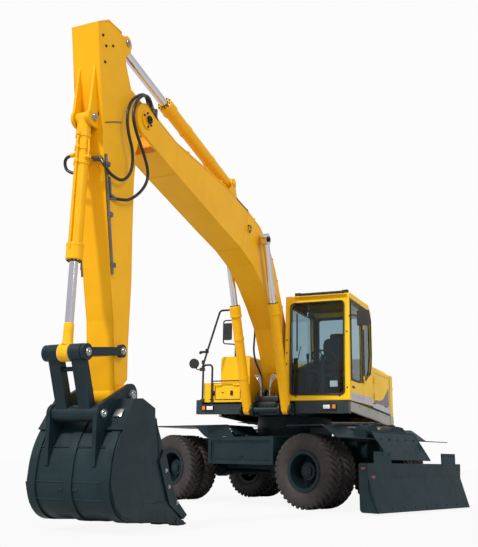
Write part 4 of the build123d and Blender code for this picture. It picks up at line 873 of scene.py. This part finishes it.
bm = bmesh.new()
add_frame(bm, [(0.390, 1.862), (0.62, 1.826), (1.094, 1.826), (1.094, 3.058), (0.390, 3.058)],
    rounded(DOOR_GLASS, 0.05), 1.2715, 1.276)
add_ring(bm, [(x, 1.274, z) for x, z in rounded(DOOR_GLASS, 0.05)], 0.009, 8)
add_box(bm, (0.905, 0.995), (1.271, 1.284), (1.722, 1.752), 0.006)
add_turned(bm, [(-0.002, 0.011), (0.006, 0.011), (0.006, 0)], (1.025, 1.273, 1.737), (0, 1, 0), 12)
piece("door_trim", bm, "black", "cab_door")
bm = bmesh.new()
add_frame(bm, [(0.376, 1.874), (0.376, 3.062), (0.05, 3.062), (-0.10, 3.02), (-0.168, 2.92), (-0.172, 2.36),
    (-0.11, 2.17),
               (0.02, 2.01), (0.20, 1.91)], rounded(QUARTER, 0.03), 1.2715, 1.276)
add_ring(bm, [(x, 1.274, z) for x, z in rounded(QUARTER, 0.03)], 0.009, 8)
add_ring(bm, [(on_screen(1.169, z), y, z) for y, z in rounded(SCREEN_OUTLINE, 0.06)], 0.013, 8)
add_ring(bm, [(-0.178, y, z) for y, z in rounded([(0.37, 2.28), (1.15, 2.28), (1.15, 2.98), (0.37, 2.98)],
    0.06)], 0.012, 8)
add_ring(bm, [(x, 0.266, z) for x, z in rounded([(-0.07, 2.26), (1.03, 1.96), (0.995, 3.0), (-0.05, 2.99)],
    0.06)], 0.012, 8)
add_box(bm, (1.095, 1.150), (0.48, 1.20), (3.143, 3.172), 0.006)
for y in (0.435, 1.235):
    add_turned(bm, [(-0.02, 0.012), (0.0, 0.018), (0.016, 0.018), (0.022, 0.010), (0.022, 0)],
        (1.06, y, 3.155), (0, 0, 1), 12)
wiper = [(1.168, 0.40, 1.70), (1.170, 0.43, 1.95), (1.164, 0.52, 2.35)]
add_tube(bm, wiper, 0.007, 8)
add_box(bm, (1.150, 1.160), (0.448, 0.470), (2.28, 2.86), 0.003)
add_turned(bm, [(0, 0.026), (0.022, 0.022), (0.026, 0.012), (0.026, 0)], (1.158, 0.40, 1.67), (1, 0, 0), 16)
for z, y in ((2.458, 0.292), (2.258, 0.292), (2.09, 0.292), (2.55, 1.236), (1.72, 1.236), (1.60, 0.44),
        (1.60, 1.12)):
    add_turned(bm, [(-0.002, 0.012), (0.006, 0.012), (0.009, 0.006), (0.009, 0)],
               (on_screen(1.161, z), y, z), (1, 0, 0), 12)
add_frame(bm, [(0.235, 0.435), (0.865, 0.435), (0.865, 1.095), (0.235, 1.095)],
    rounded([(0.262, 0.462), (0.838, 0.462),
          (0.838, 1.068), (0.262, 1.068)], 0.05), 3.146, 3.166, "xy")
piece("cab_gaskets", bm, "black", "upper")
bm = bmesh.new()
for y0, y1 in ((0.268, 0.334), (1.210, 1.266)):
    add_tube(bm, [(1.158, y0 + 0.012, 1.56), (1.160, y0 + 0.012, 2.1), (1.112, y0 + 0.012, 3.13)], 0.007, 6)
add_tube(bm, [(0.02, 0.275, 3.146), (1.02, 0.275, 3.146)], 0.009, 6)
add_tube(bm, [(0.02, 1.258, 3.146), (1.02, 1.258, 3.146)], 0.009, 6)
for y in (0.5, 0.64, 0.9, 1.04):
    add_box(bm, (0.05, 0.22), (y - 0.02, y + 0.02), (3.146, 3.158), 0.005)
for x in (-0.02, 0.90):
    add_box(bm, (x, x + 0.06), (0.30, 1.23), (3.145, 3.156), 0.005)
add_prism(bm, [(1.100, 3.142), (1.100, 3.120), (1.158, 3.112), (1.160, 3.120)], 0.40, 1.24)
piece("cab_roof_ribs", bm, "lemon", "upper")

# ---------------------------------------------------------------- cab, inside
def cushion(name, centre, half, lift, channels, turn=0.0, kind="seat"):
    """A sewn cushion: crowned, pulled in at its middle edges, with channels across and piping round its rim."""
    n = 22
    bm = bmesh.new()
    bmesh.ops.create_cube(bm, size=2.0)
    bmesh.ops.subdivide_edges(bm, edges=bm.edges, cuts=n, use_grid_fill=True)
    hx, hy, hz = half
    for v in bm.verts:
        u, w, t = v.co
        edge = 1 - 0.035 * (1 - abs(u) ** 2) * abs(w) ** 6 - 0.02 * (1 - t * t)
        round_ = (1 - 0.16 * abs(u) ** 8 * abs(t) ** 3, 1 - 0.16 * abs(w) ** 8 * abs(t) ** 3)
        crown = lift * (1 - u ** 4) * (1 - w ** 4) * (0.5 + 0.5 * t)
        groove = sum(0.010 * pow(2.718, -((u - c) / 0.045) ** 2) for c in channels) * (t > 0.5)
        bolster = 0.030 * max(0, abs(w) - 0.62) / 0.38 * (t > 0.5) * (1 - u ** 6)
        v.co = Vector((u * hx * round_[0] * (1 - 0.15 * w ** 6),
            w * hy * edge * round_[1] * (1 - 0.15 * u ** 6),
                       t * hz * (1 - 0.35 * max(abs(u), abs(w)) ** 8) + crown - groove + bolster))
    bmesh.ops.smooth_vert(bm, verts=bm.verts, factor=0.5, use_axis_x=True, use_axis_y=True, use_axis_z=True)
    place = Matrix.Translation(centre) @ Matrix.Rotation(turn, 4, "Y")
    rim = rounded([(-hx * 0.93, -hy * 0.93), (hx * 0.93, -hy * 0.93), (hx * 0.93, hy * 0.93),
        (-hx * 0.93, hy * 0.93)], 0.06)
    bm.transform(place)
    obj = piece(name, bm, kind, "upper", 60)
    pipe = bmesh.new()
    add_ring(pipe, [place @ Vector((x, y, hz * 0.80)) for x, y in rim], 0.006, 6)
    piece(name + "_piping", pipe, "rubber", "upper")
    return obj


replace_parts(cushion("seat_base", (0.335, 0.767, 1.955), (0.215, 0.235, 0.048), 0.018, (-0.35, 0.25)), "seat")
cushion("seat_back", (0.135, 0.767, 2.32), (0.29, 0.225, 0.045), 0.016, (-0.5, -0.1, 0.3), radians(-84))
cushion("seat_headrest", (0.095, 0.767, 2.63), (0.062, 0.12, 0.036), 0.010, (), radians(-84))
bm = bmesh.new()
for i in range(5):
    z = 1.62 + i * 0.05
    add_box(bm, (0.205, 0.495), (0.612, 0.922), (z, z + 0.028), 0.010)
    add_box(bm, (0.225, 0.475), (0.632, 0.902), (z + 0.022, z + 0.056), 0.004)
add_box(bm, (0.19, 0.51), (0.60, 0.934), (1.566, 1.625), 0.015)
add_box(bm, (0.13, 0.53), (0.56, 0.974), (1.865, 1.908), 0.015)
for s in SIDES:
    y = 0.767 + s * 0.325
    add_box(bm, (0.19, 0.61), (y - 0.062, y + 0.062), (1.566, 1.98), 0.03, segments=3)
    add_box(bm, (0.16, 0.64), (y - 0.055, y + 0.055), (1.985, 2.085), 0.035, segments=3)
    add_turned(bm, [(0, 0.045), (0.03, 0.040), (0.045, 0.028), (0.07, 0.026), (0.085, 0.016), (0.12, 0.012),
        (0.14, 0.014),
                    (0.16, 0.022), (0.21, 0.026), (0.235, 0.020), (0.243, 0)], (0.585, y, 2.075),
                    (0.12, 0, 1), 16)
    for k in range(4):
        add_box(bm, (0.30 + k * 0.05, 0.325 + k * 0.05), (y - 0.02, y + 0.02), (2.08, 2.094), 0.003)
tilt = Matrix.Translation((0.83, 0.767, 2.225)) @ Matrix.Rotation(radians(-25), 4, "Y")
add_ring(bm, [tilt @ Vector((0.178 * cos(2 * pi * k / 36), 0.178 * sin(2 * pi * k / 36),
    0)) for k in range(36)], 0.014, 10)
for a in (0.0, 2.1, -2.1):
    add_tube(bm, [tilt @ Vector((0.02 * cos(a), 0.02 * sin(a), -0.02)),
        tilt @ Vector((0.10 * cos(a), 0.10 * sin(a), -0.016)),
                  tilt @ Vector((0.172 * cos(a), 0.172 * sin(a), 0))], 0.010, 8)
add_turned(bm, [(-0.06, 0.03), (-0.02, 0.045), (0.012, 0.042), (0.018, 0.02), (0.018, 0)],
    tilt @ Vector((0, 0, 0)), tilt.to_3x3() @ Vector((0, 0, 1)), 20)
add_tube(bm, [(0.845, 0.767, 2.19), (0.87, 0.767, 1.95), (0.885, 0.767, 1.62)], (0.035, 0.042, 0.055), 14)
add_box(bm, (0.80, 0.95), (0.69, 0.845), (1.566, 1.64), 0.02)
for y in (0.66, 0.725, 0.81, 0.875):
    add_box(bm, (0.93, 1.0), (y - 0.022, y + 0.022), (1.60, 1.615), 0.004)
    add_tube(bm, [(0.99, y, 1.612), (0.985, y, 1.75), (0.95, y, 2.0 if y in (0.725, 0.81) else 1.70)], 0.007,
        8)
add_box(bm, (0.94, 1.0), (0.345, 0.40), (2.02, 2.20), 0.012)
add_box(bm, (0.70, 1.04), (0.322, 0.375), (1.566, 2.02), 0.02)
piece("cab_controls", bm, "interior", "upper")
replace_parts(bpy.data.objects["cab_controls"], "controls")
bm = bmesh.new()
add_frame(bm, [(-0.10, 1.575), (1.09, 1.575), (1.09, 1.62), (-0.10, 1.62)],
    [(-0.05, 1.585), (1.05, 1.585), (1.05, 1.61), (-0.05, 1.61)],
          0.312, 1.222)
add_box(bm, (-0.125, -0.118), (0.32, 1.21), (1.58, 2.26), 0.003)
add_box(bm, (-0.06, 1.07), (0.30, 1.235), (3.072, 3.094), 0.006)
add_frame(bm, [(0.295, 1.57), (1.24, 1.57), (1.24, 3.08), (0.295, 3.08)],
    rounded([(0.385, 2.29), (1.135, 2.29), (1.135, 2.97), (0.385, 2.97)], 0.06),
          -0.118, -0.106, "yz")
add_frame(bm, [(-0.13, 1.57), (1.10, 1.57), (1.06, 3.08), (-0.09, 3.08)],
    rounded([(-0.055, 2.27), (1.02, 1.975), (0.985, 2.985), (-0.04, 2.975)], 0.06),
          0.322, 0.330, "xz")
piece("cab_lining", bm, "interior", "upper")
bm = bmesh.new()
add_box(bm, (1.1265, 1.1295), (0.962, 1.080), (1.735, 1.825), 0.001)
piece("cab_sign_blank", bm, "lens", "upper")

# ---------------------------------------------------------------- body panels
bm = bmesh.new()
for y0, y1, z0, z1 in ((-1.040, -0.930, 1.411, 1.474), (0.865, 0.975, 1.411, 1.474)):
    add_box(bm, (1.166, 1.1755), (y0 + 0.002, y1 - 0.002), (z0 + 0.003, z1 - 0.003), 0.004)
    for k in range(3):
        y = y0 + 0.025 + k * 0.03
        add_turned(bm, [(0.001, 0.012), (0.003, 0.010), (0.004, 0)], (1.1755, y, (z0 + z1) / 2), (1, 0, 0),
            12)
piece("lamp_lenses", bm, "lens", "upper")
bm = bmesh.new()
for y in (-1.09, 1.03):
    add_box(bm, (1.166, 1.178), (y - 0.027, y + 0.027), (1.413, 1.472), 0.006)
    for k in range(4):
        add_box(bm, (1.177, 1.1795), (y - 0.024, y + 0.024), (1.420 + k * 0.013, 1.426 + k * 0.013), 0.001)
piece("lamp_ambers", bm, "amber", "upper")
bm = bmesh.new()
for y0, y1 in ((-1.125, -0.925), (0.86, 1.065)):
    add_frame(bm, [(y0, 1.402), (y1, 1.402), (y1, 1.483), (y0, 1.483)],
        [(y0 + 0.006, 1.408), (y1 - 0.006, 1.408), (y1 - 0.006, 1.477),
              (y0 + 0.006, 1.477)], 1.153, 1.176, "yz")
piece("lamp_bezels", bm, "black", "upper")

bm = bmesh.new()
seam = [(1.04, 1.5345), (0.4, 1.520), (-0.4, 1.495), (-1.448, 1.452)]
add_tube(bm, [(x, 1.2475, z) for x, z in seam], 0.008, 6)
add_tube(bm, [(-1.447, 1.2485, 1.46), (-1.447, 1.2485, 1.8), (-1.447, 1.2485, 2.13)], 0.006, 6)
for x0, z0, w in ((0.30, 1.845, 0.12), (-0.42, 1.575, 0.20), (-1.24, 1.575, 0.20)):
    add_box(bm, (x0, x0 + w), (1.2475 if x0 < -0.3 else 1.2705, 1.2535 if x0 < -0.3 else 1.2745),
        (z0, z0 + 0.020), 0.004)
door = [(-1.374, 1.601), (-0.338, 1.601), (-0.338, 2.084), (-1.374, 2.084)]
add_frame(bm, [(-1.381, 1.594), (-0.331, 1.594), (-0.331, 2.091), (-1.381, 2.091)], door, 1.2465, 1.2492)
add_tube(bm, [(-0.242, 1.2515, 1.54), (-0.242, 1.2515, 2.20)], 0.006, 6)
add_ring(bm, [(1.1105, y, z) for y, z in rounded([(-0.927, 1.574), (-0.493, 1.574), (-0.493, 1.802),
    (-0.927, 1.802)], 0.02)], 0.005, 6)
add_box(bm, (1.1095, 1.1135), (-0.812, -0.775), (1.676, 1.690), 0.003)
for y in (-0.955, -0.640):
    add_box(bm, (1.108, 1.124), (y - 0.022, y + 0.022), (1.640, 1.712), 0.006)
    add_turned(bm, [(0, 0.016), (0.014, 0.014), (0.016, 0)], (1.122, y, 1.676), (1, 0, 0), 14)
for s in (1, -1):
    for k in range(4):
        x = k * 0.55 - 1.1
        add_turned(bm, [(0, 0.010), (0.005, 0.009), (0.006, 0)], (x, s * 1.2465, 1.42 + (x + 1.45) * 0.028),
            (0, s, 0), 10)
add_turned(bm, [(0, 0.058), (0.02, 0.062), (0.026, 0.056), (0.026, 0.03), (0.045, 0.028), (0.045, 0)],
    (0.30, -0.72, 2.3128), (0, 0, 1), 24)
for x in (-0.10, 0.74):
    for y in (-0.93, -0.50):
        add_turned(bm, [(0, 0.011), (0.007, 0.010), (0.009, 0)], (x, y, 2.283), (0, 0, 1), 6)
piece("body_trim", bm, "black", "upper")

bm = bmesh.new()
add_prism(bm, [(1.10, 1.5405), (1.10, 1.6035), (-0.12, 1.6035), (-0.175, 1.6035), (-0.175, 1.5405)], 1.2722,
    1.2738)
add_prism(bm, [(0.380, 1.6035), (0.380, 1.658), (-0.175, 1.660), (-0.175, 1.6035)], 1.2722, 1.2738)
add_prism(bm, [(-0.245, 1.521), (-0.245, 1.590), (-1.376, 1.590), (-1.44, 1.60), (-1.44, 1.476)], 1.2502,
    1.2520)
piece("stripe_fore", bm, "silver", "upper")
bm = bmesh.new()
add_prism(bm, [(0.392, 1.610), (1.093, 1.610), (1.093, 1.656), (0.392, 1.658)], 1.2722, 1.2738)
piece("stripe_cab_door", bm, "silver", "cab_door")
bm = bmesh.new()
add_prism(bm, [(-1.370, 1.605), (-0.342, 1.605), (-0.342, 1.652), (-0.72, 1.655), (-0.99, 1.71),
    (-1.370, 1.93)], 1.2502, 1.2525)
piece("stripe_door", bm, "mauve", "service_door")

# engine side: grille bars, hood slots' bars, exhaust collar, tail sockets
bm = bmesh.new()
for i in range(8):
    z = 1.655 + i * 0.06
    add_prism(bm, [(-1.2440, z + 0.004), (-1.2490, z + 0.004), (-1.2370, z + 0.026), (-1.2320, z + 0.026)],
        -1.345, -0.705, plane="yz")
    for x in (-1.18, -1.02, -0.86):
        add_box(bm, (x - 0.006, x + 0.006), (-1.244, -1.236), (z, z + 0.028), 0.0)
for i in range(7):
    x = -1.74 + i * 0.09
    add_box(bm, (x + 0.004, x + 0.036), (-0.725, 0.725), (2.2605, 2.2635), 0.0)
add_turned(bm, [(0, 0.075), (0.02, 0.078), (0.03, 0.060), (0.12, 0.056), (0.125, 0.048), (0.05, 0.046),
    (0.05, 0)], (-1.15, -0.45, 2.2795), (0, 0, 1), 24)
for s in SIDES:
    add_box(bm, (-2.655, -2.640), span(s, 0.30, 0.42), (1.62, 1.72), 0.006)
for y in (-0.2, 0.2):
    add_turned(bm, [(0, 0.05), (0.012, 0.05), (0.012, 0.03), (-0.01, 0.03)], (-2.0, y, 2.1605), (0, 0, 1), 20)
piece("grilles", bm, "black", "upper")
bm = bmesh.new()
for s in SIDES:
    add_box(bm, (-2.630, -2.618), span(s, 0.56, 0.66), (1.42, 1.52), 0.005)
piece("tail_reflectors", bm, "red", "upper")
bm = bmesh.new()
TAIL = [(-1.452, 1.2500), (-1.628, 1.2440), (-1.804, 1.2200), (-1.950, 1.1905), (-2.09, 1.1440),
    (-2.234, 1.0820), (-2.328, 1.0150),
        (-2.412, 0.9340), (-2.483, 0.8420), (-2.539, 0.7410), (-2.581, 0.6330), (-2.606, 0.5180),
        (-2.633, 0.3610), (-2.654, 0.1810),
        (-2.661, 0)]
TAIL += [(x, -y) for x, y in reversed(TAIL[:-1])]
for z in (1.50, 1.95):
    add_tube(bm, [(x, y, z) for x, y in TAIL], 0.007, 6)
for x, y in ((-2.05, 0.62), (-2.05, -0.62)):
    add_ring(bm,
        [(x + 0.045 * cos(2 * pi * k / 18), y, 2.165 + 0.045 * sin(2 * pi * k / 18)) for k in range(18)],
        0.013, 8)
piece("counterweight_seams", bm, "lemon", "upper")
bm = bmesh.new()
low, high = 1.285, 1.455
for (ax, ay), (bx, by) in zip(TAIL, TAIL[1:]):
    ring = []
    for x, y in ((ax, ay), (bx, by)):
        out = Vector((x + 1.2, y, 0)).normalized() * 0.004
        ring.append([(x - out.x * 0.8, y - out.y * 0.8), (x + out.x, y + out.y)])
    verts = [bm.verts.new((q[0], q[1], z)) for z in (low, high) for r in ring for q in r]
    for f in ((0, 1, 3, 2), (4, 6, 7, 5), (1, 5, 7, 3), (0, 2, 6, 4)):
        bm.faces.new([verts[i] for i in f])
bmesh.ops.remove_doubles(bm, verts=bm.verts, dist=1e-5)
for x, y in TAIL[2:-2:3]:
    out = Vector((x + 1.2, y, 0)).normalized()
    add_turned(bm, [(0.003, 0.012), (0.009, 0.010), (0.010, 0)], (x, y, 1.37), out, 10)
piece("counterweight_band", bm, "grey", "upper")
bm = bmesh.new()
add_prism(bm, [(x * 0.994, y * 0.985) for x, y in TAIL], 1.2690, 1.2745, plane="xy")
for y in (-0.7, -0.35, 0.35, 0.7):
    add_turned(bm, [(0.0, 0.045), (0.006, 0.045), (0.012, 0.03), (0.012, 0)], (-2.1, y, 1.2690), (0, 0, -1),
        18)
add_prism(bm, [(-1.452, -1.19), (-1.452, 1.19), (-0.36, 1.19), (-0.30, 0.9), (-0.30, -0.9), (-0.36, -1.19)],
    1.2905, 1.2965, plane="xy")
for x in (-1.2, -0.8):
    add_box(bm, (x, x + 0.03), (-1.18, 1.18), (1.2800, 1.2910), 0.003)
piece("underside_plates", bm, "dark", "upper")

# rails, mirrors
bm = bmesh.new()
for y in (-1.136, -0.975):
    add_box(bm, (1.108, 1.156), (y - 0.03, y + 0.03), (1.5705, 1.582), 0.004)
for y, z in ((-1.185, 2.318), (-1.075, 2.360)):
    add_turned(bm, [(-0.025, 0), (-0.025, 0.016), (-0.008, 0.022), (0.012, 0.022), (0.02, 0.012), (0.02, 0)],
        (1.15, y, z), (1, 0, 0), 12)
add_box(bm, (1.112, 1.156), (-1.20, -1.05), (2.315, 2.350), 0.010)
add_box(bm, (1.115, 1.152), (-1.165, -1.115), (2.14, 2.20), 0.010)
add_turned(bm, [(-0.03, 0), (-0.03, 0.06), (-0.02, 0.078), (0.020, 0.081), (0.024, 0.074), (0.018, 0.070)],
    (1.142, -1.296, 2.150), (1, 0, 0), 32)
for y, z in ((-0.80, 2.287), (-0.80, 2.50)):
    add_turned(bm, [(0, 0.042), (0.022, 0.042), (0.022, 0.034)], (0.60, y, z), (0, 0, 1), 20)
add_ring(bm, [(0.579, y, z) for y, z in rounded([(-1.042, 2.602), (-0.904, 2.602), (-0.904, 2.875),
    (-1.042, 2.875)], 0.03)], 0.006, 6)
add_ring(bm, [(1.131, y, z) for y, z in rounded([(1.403, 2.628), (1.577, 2.628), (1.577, 2.842),
    (1.403, 2.842)], 0.025)], 0.006, 6)
piece("mirror_shells", bm, "black", "upper")
bm = bmesh.new()
add_box(bm, (0.5785, 0.5797), (-1.036, -0.910), (2.610, 2.868), 0.0)
add_box(bm, (1.1285, 1.1297), (1.410, 1.570), (2.634, 2.836), 0.0)
piece("mirror_glasses", bm, "mirror", "upper")

# boom foot: manifold, pipes
bm = bmesh.new()
for y0, y1 in ((-0.275, -0.135), (-0.055, 0.095)):
    for k, o in enumerate((0.0, 0.03, 0.06)):
        a, b = (y0 + o, y1 - 0.03) if y0 < -0.1 else (y1 - o, y0 + 0.03)
        add_tube(bm, line_of("p", [(1.05, b, 1.60), (1.05, b, 1.78 + o), (1.05, (a + b) / 2, 1.87 + o),
            (1.02, a, 1.94 + o * 0.5),
                                   (0.99, a - (0.02 if y0 < -0.1 else -0.02), 1.95)]), 0.009, 8)
        add_turned(bm, [(-0.02, 0.016), (0.02, 0.016), (0.02, 0.010)], (1.05, b, 1.74), (0, 0, 1), 6)
piece("foot_pipes", bm, "bright", "upper")
bm = bmesh.new()
add_box(bm, (0.96, 1.09), (-0.26, 0.13), (1.5355, 1.62), 0.012)
add_box(bm, (1.0, 1.12), (-0.20, 0.10), (1.42, 1.53), 0.012)
for y in (-0.23, -0.15, -0.06, 0.03, 0.10):
    add_turned(bm, [(0, 0.02), (0.05, 0.018), (0.055, 0.01), (0.055, 0)], (1.03, y, 1.62), (0, 0, 1), 10)
    add_turned(bm, [(0, 0.014), (0.02, 0.014), (0.022, 0)], (1.12, y * 0.75, 1.475), (1, 0, 0), 6)
piece("foot_manifold", bm, "black", "upper")
bm = bmesh.new()
for s in SIDES:
    add_pin(bm, (1.24, s * (0.394 + 0.010), 1.40), (0, s, 0), 0.045)
piece("foot_pins", bm, "steel", "upper")

# ---------------------------------------------------------------- undercarriage
def wheel_detail(name, x, side):
    hub = ch(x, 0, TYRE_R)
    out = CY * side
    bm = bmesh.new()
    dish_at, cap_at = 0.935, 0.935 + 0.165

    def ring(radius, count, turn=0.0):
        return [(CX * cos(2 * pi * i / count + turn) + UP * sin(2 * pi * i / count + turn)) * radius for i in range(count)]
    add_bolts(bm, [hub + out * (dish_at + 0.020) + p for p in ring(0.168, 10)], out, 0.015, 0.022)
    add_bolts(bm, [hub + out * cap_at + p for p in ring(0.098, 12, 0.2)], out, 0.008, 0.008)
    add_turned(bm, [(0.02, 0.152), (0.03, 0.150), (0.034, 0.142), (0.034, 0.126)], hub + out * dish_at, out,
        40)
    add_turned(bm, [(0.160, 0.1255), (0.166, 0.122), (0.168, 0.112)], hub + out * dish_at, out, 40)
    for p in ring(0.042, 3, 0.5):
        add_box(bm, (-0.016, 0.016), (-0.006, 0.006), (0, 0.014), 0.003,
            axis_frame(hub + out * (cap_at + 0.004) + p, out))
    add_turned(bm, [(0.190, 0.045), (0.196, 0.040), (0.197, 0)], hub + out * dish_at, out, 20)
    for c in TWIN:
        add_turned(bm, [(-0.001, 0.252), (0.006, 0.256), (0.010, 0.268), (0.011, 0.287), (0.004, 0.291),
            (-0.002, 0.286)],
                   hub + out * (c + 0.095), out, 56)
        add_turned(bm, [(0.001, 0.252), (-0.006, 0.256), (-0.010, 0.268), (-0.011, 0.287), (-0.004, 0.291),
            (0.002, 0.286)],
                   hub + out * (c - 0.095), out, 56)
    add_tube(bm, [hub + out * 1.10 + CX * 0.226 + UP * 0.02, hub + out * 1.15 + CX * 0.215 + UP * 0.02,
        hub + out * 1.175 + CX * 0.205 + UP * 0.02],
             0.006, 8)
    piece("wheel_bolts_" + name, bm, "dark", "wheels_" + name)


for name, x, side in WHEELS:
    wheel_detail(name, x, side)

bm = bmesh.new()
for s in SIDES:
    add_frame(bm, [(-0.725, 0.665), (0.505, 0.665), (0.505, 0.945), (-0.725, 0.945)],
        [(-0.700, 0.690), (0.480, 0.690), (0.480, 0.920),
              (-0.700, 0.920)], *span(s, 1.178, 1.186), "xz", CHASSIS)
    for x in (-0.45, 0.22):
        add_box(bm, (x - 0.035, x + 0.035), span(s, 1.178, 1.194), (0.93, 0.955), 0.004, CHASSIS)
    add_box(bm, (-0.16, -0.06), span(s, 1.178, 1.196), (0.70, 0.725), 0.006, CHASSIS)
    for x in (-0.70, -0.30, 0.12, 0.50):
        add_box(bm, (x - 0.05, x + 0.05), span(s, 0.75, 1.19), (1.0095, 1.016), 0.002, CHASSIS)
    for k in range(9):
        add_box(bm, (-0.74 + k * 0.15, -0.70 + k * 0.15), span(s, 0.80, 1.15), (1.0095, 1.0135), 0.001,
            CHASSIS)
for i in range(30):
    a = 2 * pi * i / 30
    add_bolts(bm, [(0.585 * cos(a), 0.585 * sin(a), 1.2470)], (0, 0, 1), 0.014, 0.016)
for x in (1.145, -1.644):
    for s in SIDES:
        for a in range(8):
            t = 2 * pi * a / 8
            at = ch(x, s * 0.092, TYRE_R) + (CX * cos(t) + UP * sin(t)) * 0.125
            add_bolts(bm, [at], CY * s, 0.010, 0.012)
for x0, z0, x1, z1 in ((-2.07, 1.196, -0.38, 1.196), (0.83, 1.171, 1.46, 1.171)):
    for s in SIDES:
        for y in (1.188, 0.64 if x0 > 0 else 0.40):
            add_tube(bm, [ch(x0, s * y, z0 - 0.004), ch(x1, s * y, z1 - 0.004)], 0.006, 6)
for x, y, r, h in ((1.50, 0.30, 0.07, 0.06), (1.52, -0.28, 0.075, 0.055), (1.10, 0.30, 0.05, 0.05),
        (1.10, -0.30, 0.05, 0.05)):
    add_turned(bm, [(-0.03, r), (h * 0.5, r), (h * 0.8, r * 0.8), (h, r * 0.4), (h, 0)], ch(x, y, 1.02),
        (0, 0, 1), 20)
for s in SIDES:
    for z in (0.56, 0.78):
        add_tube(bm, line_of("brake", [tuple(ch(1.35, s * 0.30, z + 0.08)), tuple(ch(1.30, s * 0.36, 0.62)),
            tuple(ch(1.20, s * 0.44, 0.635)),
                                       tuple(ch(1.16, s * 0.50, 0.66))]), 0.007, 6)
piece("chassis_detail", bm, "dark", "chassis")

# dozer blade
bm = bmesh.new()
for i in range(9):
    y = (i - 4) * 0.29
    add_turned(bm, [(0, 0.016), (0.004, 0.016), (0.006, 0.012), (0.006, 0.008), (0.002, 0.006), (0.002, 0)],
        ch(2.378, y, 0.080),
               ch(0.953, 0, 0.304), 16)
for s in SIDES:
    for y in (0.74, 0.90, 1.05):
        add_bolts(bm, [ch(2.262, s * y, 0.775)], CX, 0.010, 0.010)
    add_pin(bm, ch(1.60, s * 0.374, 0.40), CY * s, 0.034)
add_prism(bm, [(2.251, 0.460), (2.256, 0.462), (2.3935, 0.030), (2.388, 0.028), (2.316, 0.151),
    (2.264, 0.281), (2.251, 0.431)],
          -1.2365, 1.2365, CHASSIS)
piece("blade_detail", bm, "dark", "dozer_blade")
bm = bmesh.new()
add_box(bm, (2.2480, 2.2560), (-1.165, -1.090), (0.435, 0.495), 0.003, CHASSIS)
for s in SIDES:
    add_box(bm, (2.150, 2.210), span(s, 1.2505, 1.2535), (0.575, 0.600), 0.001, CHASSIS)
piece("blade_reflectors", bm, "red", "dozer_blade")
bm = bmesh.new()
for i in range(5):
    y = (i - 2) * 0.22
    add_bolts(bm, [ch(1.95, y, 0.99)], ch(0.82, 0, 0.57), 0.010, 0.008)
for s in SIDES:
    add_tube(bm, [ch(1.872, s * 0.57, 1.088), ch(2.138, s * 0.57, 0.702)], 0.008, 6)
add_tube(bm, [ch(1.868, -0.57, 1.090), ch(1.868, 0.57, 1.090)], 0.009, 6)
add_tube(bm, [ch(2.136, -0.57, 0.702), ch(2.136, 0.57, 0.702)], 0.008, 6)
piece("guard_edges", bm, "dark", "chassis")
bm = bmesh.new()
for low, high, outline in ((1.60, 1.80, [(-0.62, 0.95), (-0.61, 1.12), (-0.54, 1.175), (-0.44, 1.195),
    (-0.36, 1.18), (-0.29, 1.12), (-0.27, 0.95)]),
                           (1.58, 1.78, [(0.03, 0.95), (0.05, 1.12), (0.13, 1.175), (0.26, 1.19),
                           (0.40, 1.18), (0.50, 1.12), (0.52, 0.95)])):
    add_prism(bm, outline, low, high, CHASSIS, "yz")
    for n, z in outline[1:-1]:
        add_bolts(bm, [ch(high, n * 0.94, z - 0.03)], CX, 0.010, 0.010)
    middle = (outline[0][0] + outline[-1][0]) / 2
    add_turned(bm, [(0, 0.05), (0.015, 0.05), (0.02, 0.03), (0.03, 0.028), (0.03, 0)],
        ch((low + high) / 2, middle, 1.19), (0, 0, 1), 18)
piece("valve_covers", bm, "dark", "chassis")
